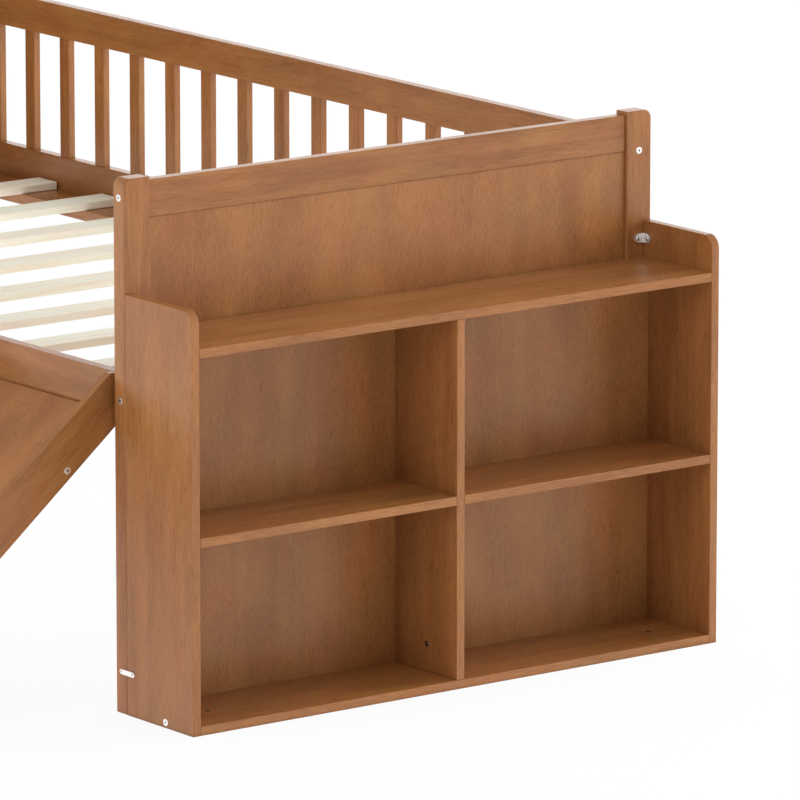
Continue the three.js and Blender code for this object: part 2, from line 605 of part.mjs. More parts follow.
function ladder() {
  const treads = TREAD_ZS.map((z, index) => ladderTread(`ladder_tread_${index + 1}`, z));
  return groupAt(LADDER_HEAD_X, RAIL_FRONT_Y - FIT - LADDER_STILE_DEEP, 0, [
    ladderStile("ladder_stile_head", 0, false),
    ladderStile("ladder_stile_foot", LADDER_WIDTH - LADDER_STILE_THICK, true),
    ...treads,
  ]);
}

// Bookcase: its own frame has x from its rear edge, at the posts, to its front
const CASE_INNER_Y = CASE_BOARD + FIT;
const CASE_INNER_WIDE = BED_WIDTH - 2 * CASE_INNER_Y;
const TOP_SHELF_TOP = CASE_TALL - CASE_TRAY_DEEP;
const TOP_SHELF_Z = TOP_SHELF_TOP - CASE_BOARD;
const CUBBY_TALL = (TOP_SHELF_Z - 2 * CASE_BOARD) / 2;
const MID_SHELF_Z = CASE_BOARD + CUBBY_TALL;
const CASE_BACK_FRONT_X = CASE_BACK_SETBACK + CASE_BACK_THICK;
const CASE_INSIDE_X = CASE_BACK_FRONT_X + FIT;
const CASE_INSIDE_DEEP = CASE_DEEP - CASE_INSIDE_X;
const CASE_BOLT_X = CASE_DEEP - CASE_BOLT_SETBACK;
const CASE_BOLT_Z = CASE_BOARD / 2 + CASE_BOLT_RISE;
const DIVIDER_BOLT_X = CASE_DEEP - DIVIDER_BOLT_SETBACK;
const DIVIDER_Y = (BED_WIDTH - CASE_BOARD) / 2;

// The groove that holds the back panel, in a board's own frame
function backGroove(sizeY, sizeZ, y, z) {
  return board(CASE_BACK_THICK + 2 * FIT, sizeY, sizeZ, CASE_BACK_SETBACK - FIT, y, z);
}

function caseSide(name, y, isRear) {
  const upright = roundedUpright(CASE_DEEP, CASE_TALL, CASE_CORNER_RADIUS, false);
  const side = extrudeAlongY(upright, 0, CASE_BOARD);
  const grooveTall = TOP_SHELF_Z - CASE_BOARD + 2 * CASE_GROOVE_DEEP;
  const grooveY = isRear ? -OVERRUN : CASE_BOARD - CASE_GROOVE_DEEP;
  const groove = backGroove(CASE_GROOVE_DEEP + OVERRUN, grooveTall, grooveY, CASE_BOARD - CASE_GROOVE_DEEP);
  const face = vector(CASE_BOLT_X, isRear ? CASE_BOARD : 0, CASE_BOLT_Z);
  const bolt = boltHole(face, isRear ? reversed(ALONG_Y) : ALONG_Y, CASE_BOARD);
  return part(name, stainedPanel, cutAll(side, [groove, bolt]), 0, y, 0);
}

// The bottom board, bolted between the sides and up into the divider
function caseBottom() {
  const bottom = board(CASE_DEEP, CASE_INNER_WIDE, CASE_BOARD);
  const groove = backGroove(
    CASE_INNER_WIDE + 2 * OVERRUN, CASE_GROOVE_DEEP + OVERRUN, -OVERRUN, CASE_BOARD - CASE_GROOVE_DEEP,
  );
  const nutStart = CASE_BOLT_Z - BARREL_RADIUS;
  const nutTall = CASE_BOARD - nutStart + OVERRUN;
  const holes = [
    endHole(vector(CASE_BOLT_X, 0, CASE_BOLT_Z), ALONG_Y),
    endHole(vector(CASE_BOLT_X, CASE_INNER_WIDE, CASE_BOLT_Z), reversed(ALONG_Y)),
    rod(BARREL_RADIUS, nutTall, vector(CASE_BOLT_X, CASE_NUT_INSET, nutStart), UP),
    rod(BARREL_RADIUS, nutTall, vector(CASE_BOLT_X, CASE_INNER_WIDE - CASE_NUT_INSET, nutStart), UP),
    boltHole(vector(DIVIDER_BOLT_X, CASE_INNER_WIDE / 2, 0), UP, CASE_BOARD),
  ];
  return part("case_bottom", stainedPanel, cutAll(bottom, [groove, ...holes]), 0, CASE_INNER_Y, 0);
}

function caseTopShelf() {
  const shelf = board(CASE_DEEP, CASE_INNER_WIDE, CASE_BOARD);
  const groove = backGroove(CASE_INNER_WIDE + 2 * OVERRUN, CASE_GROOVE_DEEP + OVERRUN, -OVERRUN, -OVERRUN);
  return part("case_top_shelf", stainedPanel, shelf.subtract(groove), 0, CASE_INNER_Y, TOP_SHELF_Z);
}

function caseDivider() {
  const tall = TOP_SHELF_Z - CASE_BOARD - 2 * FIT;
  const divider = board(CASE_INSIDE_DEEP, CASE_BOARD, tall);
  const boltX = DIVIDER_BOLT_X - CASE_INSIDE_X;
  const nutZ = BARREL_INSET - CASE_BOARD;
  const holes = [
    endHole(vector(boltX, CASE_BOARD / 2, 0), UP),
    barrelHole(vector(boltX, 0, nutZ), ALONG_Y, CASE_BOARD),
  ];
  return part("case_divider", stainedPanel, cutAll(divider, holes), CASE_INSIDE_X, DIVIDER_Y, CASE_BOARD + FIT);
}

function caseMidShelf(name, y) {
  const length = DIVIDER_Y - CASE_BOARD - 2 * FIT;
  return part(name, stainedPanel, board(CASE_INSIDE_DEEP, length, CASE_BOARD), CASE_INSIDE_X, y, MID_SHELF_Z);
}

function caseBack() {
  const reach = CASE_GROOVE_DEEP - FIT;
  const y = CASE_BOARD - reach;
  const z = CASE_BOARD - reach;
  const solid = board(CASE_BACK_THICK, BED_WIDTH - 2 * y, TOP_SHELF_Z - z + reach);
  return part("case_back", stainedPanel, solid, CASE_BACK_SETBACK, y, z);
}

// A bracket's wing, standing on its edge: it runs from its start along the axis, and its far end is round
function wingOutline(start, direction) {
  const radius = BRACKET_TALL / 2;
  const centre = start + direction * (BRACKET_WING - radius);
  const outline = new THREE.Shape();
  outline.moveTo(start, 0);
  outline.lineTo(centre, 0);
  outline.absarc(centre, radius, radius, -Math.PI / 2, Math.PI / 2, direction < 0);
  outline.lineTo(start, BRACKET_TALL);
  const hole = new THREE.Path();
  hole.absarc(centre, radius, BRACKET_HOLE_RADIUS, 0, 2 * Math.PI, false);
  outline.holes.push(hole);
  return outline;
}

// A bracket: one wing on the inner face of the bookcase's side, the other on the post's face
function bracket(name, isRear) {
  const sideWing = extrudeAlongY(wingOutline(0, 1), 0, BRACKET_THICK);
  const postOutline = isRear ? wingOutline(BRACKET_THICK, -1) : wingOutline(0, 1);
  const postWing = extrudeAlongX(postOutline, 0, BRACKET_THICK);
  const y = isRear ? BED_WIDTH - CASE_BOARD - FIT - BRACKET_THICK : CASE_BOARD + FIT;
  const z = CASE_TALL - BRACKET_DROP - BRACKET_TALL;
  return part(name, zincSteel, sideWing.add(postWing), 0, y, z);
}

function bookcase() {
  return groupAt(CASE_X, 0, 0, [
    caseSide("case_side_front", 0, false),
    caseSide("case_side_rear", BED_WIDTH - CASE_BOARD, true),
    caseBottom(),
    caseTopShelf(),
    caseDivider(),
    caseMidShelf("case_shelf_front", CASE_INNER_Y),
    caseMidShelf("case_shelf_rear", DIVIDER_Y + CASE_BOARD + FIT),
    caseBack(),
    bracket("case_bracket_front", false),
    bracket("case_bracket_rear", true),
  ]);
}

// The whole bed, moved so that the middle of its footprint is the origin
const bed = new THREE.Group();
bed.position.set(-(CASE_X + CASE_DEEP) / 2, -(SLIDE_NOSE_Y + BED_WIDTH) / 2, 0);
bed.add(
  endFrame("head", 0, -1),
  endFrame("foot", FOOT_FRAME_X, 1),
  frontRail(),
  rearRail(),
  ledger("ledger_front", RAIL_FRONT_Y + RAIL_THICK + FIT),
  ledger("ledger_rear", REAR_RAIL_Y - FIT - LEDGER_WIDE),
  ...slats(),
  ...rearGuard(),
  frontGuard(),
  slideSide("slide_side_foot", SLIDE_FOOT_X - SLIDE_SIDE_THICK, true),
  slideSide("slide_side_head", SLIDE_HEAD_X, false),
  slideBed(),
  ladder(),
  bookcase(),
);

const loftBed = new THREE.Group();
loftBed.add(bed);
export default loftBed;
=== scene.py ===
import math
import random

import bmesh
import bpy
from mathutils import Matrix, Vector


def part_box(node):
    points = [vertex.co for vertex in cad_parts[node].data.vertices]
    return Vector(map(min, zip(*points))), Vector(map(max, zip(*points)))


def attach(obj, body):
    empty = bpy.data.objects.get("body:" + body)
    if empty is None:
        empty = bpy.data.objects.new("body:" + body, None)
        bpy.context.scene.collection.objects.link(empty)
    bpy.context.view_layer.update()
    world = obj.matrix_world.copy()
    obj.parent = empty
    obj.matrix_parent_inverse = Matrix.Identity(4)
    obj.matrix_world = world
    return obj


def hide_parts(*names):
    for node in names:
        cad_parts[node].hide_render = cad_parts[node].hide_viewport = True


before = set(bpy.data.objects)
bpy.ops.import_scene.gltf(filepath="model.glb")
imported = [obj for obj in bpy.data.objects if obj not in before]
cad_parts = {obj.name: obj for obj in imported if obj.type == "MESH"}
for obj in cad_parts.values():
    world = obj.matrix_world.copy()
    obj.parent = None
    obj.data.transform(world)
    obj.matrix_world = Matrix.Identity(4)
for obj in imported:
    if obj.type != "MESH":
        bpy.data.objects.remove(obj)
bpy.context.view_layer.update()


# Camera
# It stands off the foot of the bed, towards the slide and a little above, and looks through a long lens,
# so that the uprights stay parallel. Part of the bed runs out of the picture on the left.

CAMERA_PLACE = (11.69569, -7.80763, 3.31299)
CAMERA_TURN = math.radians(53.05)
CAMERA_RISE = math.radians(12.0)
CAMERA_LENS = 385.6
CAMERA_REACH = 300

backward = Vector((
    math.sin(CAMERA_TURN) * math.cos(CAMERA_RISE),
    -math.cos(CAMERA_TURN) * math.cos(CAMERA_RISE),
    math.sin(CAMERA_RISE),
))
camera_data = bpy.data.cameras.new("camera")
camera_data.lens = CAMERA_LENS
camera_data.clip_end = CAMERA_REACH
camera = bpy.data.objects.new("camera", camera_data)
camera.location = CAMERA_PLACE
camera.rotation_mode = "QUATERNION"
camera.rotation_quaternion = (-backward).to_track_quat("-Z", "Y")
bpy.context.scene.collection.objects.link(camera)
bpy.context.scene.camera = camera


# End frames
# Each is two solid posts, a top rail and a lower rail, with a veneered panel held in grooves between them.
# Posts and rails are planed, their edges sanded round, then stained a walnut colour and lacquered satin.

POST_EASE = 0.002
RAIL_EASE = 0.0013
PANEL_EASE = 0.0006
EASE_STEPS = 3
WELD = 0.00002
FLAT_ANGLE = math.radians(1)
CORNER_ANGLE = math.radians(35)
SHIFT_RANGE = 10.0
SWAY_RATE = (2.2, 9.0, 9.0)
BAND_EDGES = (0.3, 0.7)
FIBRE_EDGES = (0.25, 0.75)
PORE_EDGES = (0.58, 0.72)
PORE_SHADE = 0.55
TONE_STOPS = (0.1, 0.5, 0.9)
# A painted highlight lightens the rounded edges, broken up in patches of this size and spread.
HIGHLIGHT_PATCHES = 26.0
HIGHLIGHT_EDGES = (0.35, 0.62)
HIGHLIGHT_LEAST = 0.35
GRAIN_DEEP = 0.0004
WOOD_REFLECTION = 0.36

LENGTHWISE = Vector((1, 0, 0))
CROSSWISE = Vector((0, 1, 0))
UPRIGHT = Vector((0, 0, 1))

stained_dark = (0.218, 0.080, 0.0227, 1)
stained_mid = (0.311, 0.124, 0.0365, 1)
stained_light = (0.402, 0.172, 0.0540, 1)
# The lighter colour painted on the rounded edges as a highlight.
stained_painted_highlight = (0.418, 0.187, 0.0648, 1)
veneer_dark = (0.227, 0.084, 0.0227, 1)
veneer_mid = (0.328, 0.130, 0.0378, 1)
veneer_light = (0.422, 0.181, 0.0583, 1)
reddish_tint = (1.02, 0.97, 0.96, 1)
yellowish_tint = (0.98, 1.03, 1.01, 1)


def place(tree, kind, inputs=None, **settings):
    """Adds a node of this kind. An input is given a value, or another node's output to take it from."""
    added = tree.nodes.new(kind)
    for name, value in settings.items():
        setattr(added, name, value)
    for key, value in (inputs or {}).items():
        if isinstance(value, bpy.types.NodeSocket):
            tree.links.new(value, added.inputs[key])
        else:
            added.inputs[key].default_value = value
    return added


def maths(tree, kind, first, second):
    """One number worked out from two."""
    return place(tree, "ShaderNodeMath", {0: first, 1: second}, operation=kind).outputs[0]


def new_group(name, inputs, outputs):
    """An empty shader group with these numbers going in and coming out."""
    tree = bpy.data.node_groups.new(name, "ShaderNodeTree")
    for way, names in (("INPUT", inputs), ("OUTPUT", outputs)):
        for key in names:
            tree.interface.new_socket(key, in_out=way, socket_type="NodeSocketFloat")
    return tree, place(tree, "NodeGroupInput").outputs


def is_outermost(face, points):
    """True if the whole board lies behind this face's plane, which isn't so inside a hole or groove."""
    reach = face.normal.dot(face.verts[0].co)
    return all(face.normal.dot(point) < reach + WELD for point in points)


def ease_edges(shape, ease):
    """Rounds the board's outer edges and gives back the faces along them. Holes and grooves stay sharp."""
    shape.normal_update()
    points = [vertex.co.copy() for vertex in shape.verts]
    outer = {face for face in shape.faces if is_outermost(face, points)}
    edges = [
        edge for edge in shape.edges
        if len(edge.link_faces) == 2 and edge.is_convex
        and edge.calc_face_angle() > CORNER_ANGLE and outer.issuperset(edge.link_faces)
    ]
    bevelled = bmesh.ops.bevel(
        shape, geom=edges, offset=ease, offset_type="OFFSET", segments=EASE_STEPS, profile=0.5,
        affect="EDGES", clamp_overlap=False, loop_slide=False,
    )
    return set(bevelled["faces"])


def record_grain(shape, eased, along, shift):
    """Writes where each point lies in the timber: along its grain first, then the two ways across it."""
    aside = UPRIGHT if abs(along.z) < 0.5 else CROSSWISE
    across = along.cross(aside).normalized()
    through = along.cross(across)
    grain_layer = shape.verts.layers.float_vector.new("grain")
    for vertex in shape.verts:
        vertex[grain_layer] = (vertex.co.dot(along), vertex.co.dot(across), vertex.co.dot(through))
    eased_layer = shape.faces.layers.float.new("eased")
    shift_layer = shape.faces.layers.float_vector.new("shift")
    for face in shape.faces:
        face[eased_layer] = 1.0 if face in eased else 0.0
        face[shift_layer] = shift


def new_piece(name, mesh):
    piece = bpy.data.objects.new(name, mesh)
    bpy.context.scene.collection.objects.link(piece)
    return piece


def board_piece(name, shape, ease, along):
    """A board from its plain shape, with its edges rounded and its grain laid along it."""
    chance = random.Random(name)
    shift = Vector((chance.uniform(0, SHIFT_RANGE) for _ in range(3)))
    record_grain(shape, ease_edges(shape, ease), along.normalized(), shift)
    mesh = bpy.data.meshes.new(name)
    shape.to_mesh(mesh)
    shape.free()
    return new_piece(name, mesh)


def plain(piece):
    """The piece with its modifiers worked into its mesh."""
    graph = bpy.context.evaluated_depsgraph_get()
    mesh = bpy.data.meshes.new_from_object(
        piece.evaluated_get(graph), preserve_all_data_layers=True, depsgraph=graph,
    )
    piece.modifiers.clear()
    piece.data = mesh
    mesh.name = piece.name
    return piece


def shade(piece):
    """Smooth over the rounded edges, flat on the broad faces."""
    piece.data.shade_smooth()
    piece.data.set_sharp_from_angle(angle=CORNER_ANGLE)
    weighted = piece.modifiers.new("flat_faces", "WEIGHTED_NORMAL")
    weighted.keep_sharp = True
    return plain(piece)


def fit(piece, finish, slot, *nodes):
    """Finishes the piece and puts it in the place of the solids it stands for."""
    piece.data.materials.clear()
    piece.data.materials.append(finish)
    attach(piece, "root")
    if nodes:
        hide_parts(*nodes)
    return piece


def copied_shape(node):
    """The solid of a board, its triangles joined into whole faces."""
    shape = bmesh.new()
    shape.from_mesh(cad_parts[node].data)
    bmesh.ops.remove_doubles(shape, verts=shape.verts, dist=WELD)
    bmesh.ops.dissolve_limit(shape, angle_limit=FLAT_ANGLE, verts=shape.verts, edges=shape.edges)
    return shape


def make_board(node, ease, along, finish, slot):
    """A finished board in the place of its node's solid."""
    suffix = "veneer" if slot == "stained_panel" else "timber"
    piece = board_piece(f"{node}_{suffix}", copied_shape(node), ease, along)
    return fit(shade(piece), finish, slot, node)


def build_timber_figure():
    """Node group: what shows of the grain in sawn or sliced wood, from the grain's own coordinates."""
    sizes = [f"{kind} {way}" for kind in ("Band", "Fibre", "Pore", "Cloud") for way in ("Length", "Width")]
    tree, given = new_group(
        "timber_figure", [*sizes, "Pore Amount", "Waviness"],
        ["Bands", "Fibres", "Pores", "Clouds", "Warmth", "Board", "Height"],
    )
    grain = place(tree, "ShaderNodeAttribute", attribute_name="grain").outputs["Vector"]
    shift = place(tree, "ShaderNodeAttribute", attribute_name="shift").outputs["Vector"]
    wood = place(tree, "ShaderNodeVectorMath", {0: grain, 1: shift}, operation="ADD").outputs[0]

    sway_size = place(tree, "ShaderNodeVectorMath", {0: wood, 1: SWAY_RATE}, operation="MULTIPLY")
    sway = place(tree, "ShaderNodeTexNoise", {"Vector": sway_size.outputs[0], "Scale": 1.0, "Detail": 1.0})
    centred = maths(tree, "SUBTRACT", sway.outputs[0], 0.5)
    swayed = maths(tree, "MULTIPLY", centred, given["Waviness"])
    aside = place(tree, "ShaderNodeCombineXYZ", {"Y": swayed, "Z": swayed}).outputs[0]
    waved = place(tree, "ShaderNodeVectorMath", {0: wood, 1: aside}, operation="ADD").outputs[0]

    def streaks(kind, detail, roughness):
        size = place(tree, "ShaderNodeCombineXYZ", {
            "X": given[f"{kind} Length"], "Y": given[f"{kind} Width"], "Z": given[f"{kind} Width"],
        }).outputs[0]
        scaled = place(tree, "ShaderNodeVectorMath", {0: waved, 1: size}, operation="DIVIDE").outputs[0]
        return place(tree, "ShaderNodeTexNoise", {
            "Vector": scaled, "Scale": 1.0, "Detail": detail, "Roughness": roughness,
        }).outputs

    def spread(value, edges):
        return place(tree, "ShaderNodeMapRange", {
            "Value": value, "From Min": edges[0], "From Max": edges[1],
        }, interpolation_type="SMOOTHSTEP").outputs[0]

    fibres = spread(streaks("Fibre", detail=2.0, roughness=0.6)[0], FIBRE_EDGES)
    pore_field = streaks("Pore", detail=0.0, roughness=0.5)[0]
    pores = maths(tree, "MULTIPLY", spread(pore_field, PORE_EDGES), given["Pore Amount"])
    cloudy = streaks("Cloud", detail=2.0, roughness=0.5)
    cloud_colour = place(tree, "ShaderNodeSeparateXYZ", {0: cloudy["Color"]}).outputs
    board = place(tree, "ShaderNodeSeparateXYZ", {0: shift}).outputs["Z"]
    place(tree, "NodeGroupOutput", {
        "Bands": spread(streaks("Band", detail=4.0, roughness=0.62)[0], BAND_EDGES),
        "Fibres": fibres,
        "Pores": pores,
        "Clouds": spread(cloudy[0], BAND_EDGES),
        "Warmth": spread(cloud_colour["Y"], BAND_EDGES),
        "Board": maths(tree, "DIVIDE", board, SHIFT_RANGE),
        "Height": maths(tree, "SUBTRACT", fibres, pores),
    })
    return tree


def build_painted_edge_highlight():
    """Node group: a painted highlight, a lighter colour along the rounded edges, broken up in patches."""
    tree, given = new_group("painted_edge_highlight", ["Amount"], ["Highlight"])
    eased = place(tree, "ShaderNodeAttribute", attribute_name="eased").outputs["Fac"]
    where = place(tree, "ShaderNodeTexCoord").outputs["Object"]
    patches = place(tree, "ShaderNodeTexNoise", {"Vector": where, "Scale": HIGHLIGHT_PATCHES, "Detail": 3.0})
    broken = place(tree, "ShaderNodeMapRange", {
        "Value": patches.outputs[0], "From Min": HIGHLIGHT_EDGES[0], "From Max": HIGHLIGHT_EDGES[1], "To Min": HIGHLIGHT_LEAST,
    }).outputs[0]
    lit_edges = maths(tree, "MULTIPLY", eased, broken)
    place(tree, "NodeGroupOutput", {"Highlight": maths(tree, "MULTIPLY", lit_edges, given["Amount"])})
    return tree


timber_figure = build_timber_figure()
painted_edge_highlight = build_painted_edge_highlight()


def colour_mix(tree, share, low, high, blend="MIX"):
    """A colour between two by a share, or their product."""
    sockets = {0: share, 6: low, 7: high}
    return place(tree, "ShaderNodeMix", sockets, data_type="RGBA", blend_type=blend).outputs[2]


def emptied(owner):
    """The node tree of a new material or world, with nothing in it."""
    owner.use_nodes = True
    owner.node_tree.nodes.clear()
    return owner.node_tree


def wood_finish(name, figure, colours, highlight_colour, shares, highlight_amount, gloss, bump):
    """A wood finish. Shares say how much the bands, fibres, clouds and the board itself vary the tone."""
    finish = bpy.data.materials.new(name)
    tree = emptied(finish)
    grain = place(tree, "ShaderNodeGroup", figure, node_tree=timber_figure)
    tone = None
    for key, share in shares.items():
        part = maths(tree, "MULTIPLY", grain.outputs[key], share)
        tone = part if tone is None else maths(tree, "ADD", tone, part)
    ramp = place(tree, "ShaderNodeValToRGB", {0: tone})
    stops = ramp.color_ramp.elements
    stops.new(TONE_STOPS[1])
    for stop, position, colour in zip(stops, TONE_STOPS, colours):
        stop.position, stop.color = position, colour
    pore_colour = (*(part * PORE_SHADE for part in colours[0][:3]), 1)
    pored = colour_mix(tree, grain.outputs["Pores"], ramp.outputs[0], pore_colour)
    # The rounded edges take a lighter colour, a painted highlight, broken up in patches.
    edge = place(tree, "ShaderNodeGroup", {"Amount": highlight_amount}, node_tree=painted_edge_highlight)
    tint = colour_mix(tree, grain.outputs["Warmth"], reddish_tint, yellowish_tint)
    tinted = colour_mix(tree, 1.0, pored, tint, "MULTIPLY")
    colour = colour_mix(tree, edge.outputs["Highlight"], tinted, highlight_colour)
    sheen = place(tree, "ShaderNodeMapRange", {
        "Value": grain.outputs["Fibres"], "To Min": gloss[0], "To Max": gloss[1],
    }).outputs[0]
    relief = place(tree, "ShaderNodeBump", {
        "Strength": bump, "Distance": GRAIN_DEEP, "Height": grain.outputs["Height"],
    }).outputs[0]
    shader = place(tree, "ShaderNodeBsdfPrincipled", {
        "Base Color": colour, "Roughness": sheen, "Normal": relief, "Specular IOR Level": WOOD_REFLECTION,
    })
    place(tree, "ShaderNodeOutputMaterial", {"Surface": shader.outputs[0]})
    return finish


stained_wood = wood_finish(
    "walnut_stained_timber",
    {"Band Length": 0.60, "Band Width": 0.022, "Fibre Length": 0.035, "Fibre Width": 0.0018,
     "Pore Length": 0.008, "Pore Width": 0.0008, "Pore Amount": 0.05, "Waviness": 0.02,
     "Cloud Length": 0.12, "Cloud Width": 0.040},
    (stained_dark, stained_mid, stained_light), stained_painted_highlight,
    {"Bands": 0.34, "Fibres": 0.26, "Clouds": 0.22, "Board": 0.08},
    highlight_amount=0.55, gloss=(0.24, 0.36), bump=0.10,
)
stained_panel = wood_finish(
    "walnut_stained_veneer",
    {"Band Length": 0.60, "Band Width": 0.050, "Fibre Length": 0.0110, "Fibre Width": 0.0012,
     "Pore Length": 0.010, "Pore Width": 0.0008, "Pore Amount": 0.02, "Waviness": 0.010,
     "Cloud Length": 0.14, "Cloud Width": 0.090},
    (veneer_dark, veneer_mid, veneer_light), stained_painted_highlight,
    {"Bands": 0.22, "Fibres": 0.50, "Clouds": 0.26, "Board": 0.06},
    highlight_amount=0.45, gloss=(0.26, 0.38), bump=0.10,
)

for end in ("head", "foot"):
    for side in ("front", "rear"):
        make_board(f"post_{end}_{side}", POST_EASE, UPRIGHT, stained_wood, "stained_wood")
    make_board(f"{end}_top_rail", RAIL_EASE, CROSSWISE, stained_wood, "stained_wood")
    make_board(f"{end}_low_rail", RAIL_EASE, CROSSWISE, stained_wood, "stained_wood")
    make_board(f"{end}_panel", PANEL_EASE, UPRIGHT, stained_panel, "stained_panel")


# Side rails and ledgers
# Two solid rails join the end frames, and a flat ledger screwed inside each one carries the slats.
# They are sawn and finished as the posts are, with the grain along the bed.

LEDGER_EASE = 0.0015

for side in ("front", "rear"):
    make_board(f"side_rail_{side}", RAIL_EASE, LENGTHWISE, stained_wood, "stained_wood")
    make_board(f"ledger_{side}", LEDGER_EASE, LENGTHWISE, stained_wood, "stained_wood")


# Frame bolts and barrel nuts
# Zinc-plated bolts with a socket for a hex key pull each rail to its post. Their flat heads close the pockets
# they are sunk in, and each screws into a round nut let into the rail's inner face, where its end shows.

HEAD_RADIUS = 0.0060
HEAD_TALL = 0.0026
HEAD_RIM = 0.0004
HEAD_PROUD = 0.0006
SOCKET_RADIUS = 0.0019
SOCKET_DEEP = 0.0016
NUT_RADIUS = 0.00515
NUT_TALL = 0.004
NUT_WALL = 0.0006
NUT_DISH = 0.0016
NUT_BOSS_RADIUS = 0.0026
NUT_BOSS_DEEP = 0.0006
NUT_SLOT_WIDE = 0.0013
NUT_SLOT_DEEP = 0.0014
NUT_SLOT_REACH = 1.8
FITTING_SIDES = 32
SOCKET_SIDES = 6
# The faces of a socket or dish that lie below this height get painted shade.
PAINTED_SHADE_FROM = -0.0001
PROUD = 0.0002
BOLT_RISE = 0.005
SIDE_BOLT_RISE = 0.008
SIDE_BOLT_SPREAD = 0.016
BARREL_INSET = 0.06
TURN_SEED = 4
ZINC_CLOUDING = 420.0
ZINC_SCRATCHES = (260.0, 260.0, 5200.0)
ZINC_GLOSS = (0.24, 0.46)
ZINC_DEEP = 0.0001

zinc_bright = (0.90, 0.89, 0.87, 1)
zinc_dull = (0.72, 0.71, 0.69, 1)
# Painted shade for the insides of sockets, dishes, slots and crosses.
zinc_shaded = (0.060, 0.056, 0.052, 1)


def build_zinc():
    """Zinc plate: cool grey with faint clouding and fine scratches, with painted shade, nearly black, inside
    sockets, slots, dishes and crosses.
    """
    finish = bpy.data.materials.new("zinc_plate")
    tree = emptied(finish)
    where = place(tree, "ShaderNodeTexCoord").outputs["Object"]
    clouding = place(tree, "ShaderNodeTexNoise", {"Vector": where, "Scale": ZINC_CLOUDING, "Detail": 3.0})
    stretched = place(tree, "ShaderNodeMapping", {"Vector": where, "Scale": ZINC_SCRATCHES}).outputs[0]
    scratches = place(tree, "ShaderNodeTexNoise", {
        "Vector": stretched, "Scale": 1.0, "Detail": 2.0,
    }).outputs[0]
    plate = colour_mix(tree, clouding.outputs[0], zinc_dull, zinc_bright)
    painted_shade = place(tree, "ShaderNodeAttribute", attribute_name="painted_shade").outputs["Fac"]
    # The marked faces inside sockets, dishes and crosses are painted nearly black as shade.
    colour = colour_mix(tree, painted_shade, plate, zinc_shaded)
    sheen = place(tree, "ShaderNodeMapRange", {
        "Value": scratches, "To Min": ZINC_GLOSS[0], "To Max": ZINC_GLOSS[1],
    }).outputs[0]
    relief = place(tree, "ShaderNodeBump", {
        "Strength": 0.1, "Distance": ZINC_DEEP, "Height": scratches,
    }).outputs[0]
    shader = place(tree, "ShaderNodeBsdfPrincipled", {
        "Base Color": colour, "Roughness": sheen, "Normal": relief, "Metallic": 1.0,
    })
    place(tree, "ShaderNodeOutputMaterial", {"Surface": shader.outputs[0]})
    return finish


zinc_steel = build_zinc()


def start_fitting(name, sizes):
    """A geometry tree that sets one fitting on each given point, with its named sizes as inputs."""
    tree = bpy.data.node_groups.new(name, "GeometryNodeTree")
    tree.interface.new_socket("Places", in_out="INPUT", socket_type="NodeSocketGeometry")
    for key, value in sizes.items():
        tree.interface.new_socket(key, in_out="INPUT", socket_type="NodeSocketFloat").default_value = value
    tree.interface.new_socket("Fittings", in_out="OUTPUT", socket_type="NodeSocketGeometry")
    return tree, place(tree, "NodeGroupInput").outputs


def raised(tree, shape, height):
    """The shape moved along its own axis."""
    lift = place(tree, "ShaderNodeCombineXYZ", {"Z": height}).outputs[0]
    return place(tree, "GeometryNodeTransform", {"Geometry": shape, "Translation": lift}).outputs[0]


def overlap(tree, first, second):
    """What two solids have in common."""
    common = place(tree, "GeometryNodeMeshBoolean", operation="INTERSECT", solver="EXACT")
    for solid in (first, second):
        tree.links.new(solid, common.inputs["Mesh 2"])
    return common.outputs[0]


def round_bar(tree, sides, radius, length, top):
    """A bar on the fitting's axis, whose upper end is at the given height."""
    bar = place(tree, "GeometryNodeMeshCylinder", {
        "Vertices": sides, "Radius": radius, "Depth": length,
    }).outputs[0]
    half = maths(tree, "MULTIPLY", length, 0.5)
    return raised(tree, bar, maths(tree, "SUBTRACT", top, half))


def cut_away(tree, solid, cutter):
    """What is left of the solid where the cutter isn't."""
    return place(tree, "GeometryNodeMeshBoolean", {
        "Mesh 1": solid, "Mesh 2": cutter,
    }, operation="DIFFERENCE", solver="EXACT").outputs[0]


def mark_painted_shade(tree, solid, radius, top):
    """Marks the faces of a socket or dish for painted shade: those within this radius of the axis and below
    its top.
    """
    spot = place(tree, "GeometryNodeInputPosition").outputs[0]
    parts = place(tree, "ShaderNodeSeparateXYZ", {0: spot}).outputs
    flat = place(tree, "ShaderNodeCombineXYZ", {"X": parts["X"], "Y": parts["Y"]}).outputs[0]
    reach = place(tree, "ShaderNodeVectorMath", {0: flat}, operation="LENGTH").outputs["Value"]
    near = maths(tree, "LESS_THAN", reach, radius)
    low = maths(tree, "LESS_THAN", parts["Z"], top)
    inside = maths(tree, "MULTIPLY", near, low)
    return place(tree, "GeometryNodeStoreNamedAttribute", {
        "Geometry": solid, "Name": "painted_shade", "Value": inside,
    }, data_type="FLOAT", domain="FACE").outputs[0]


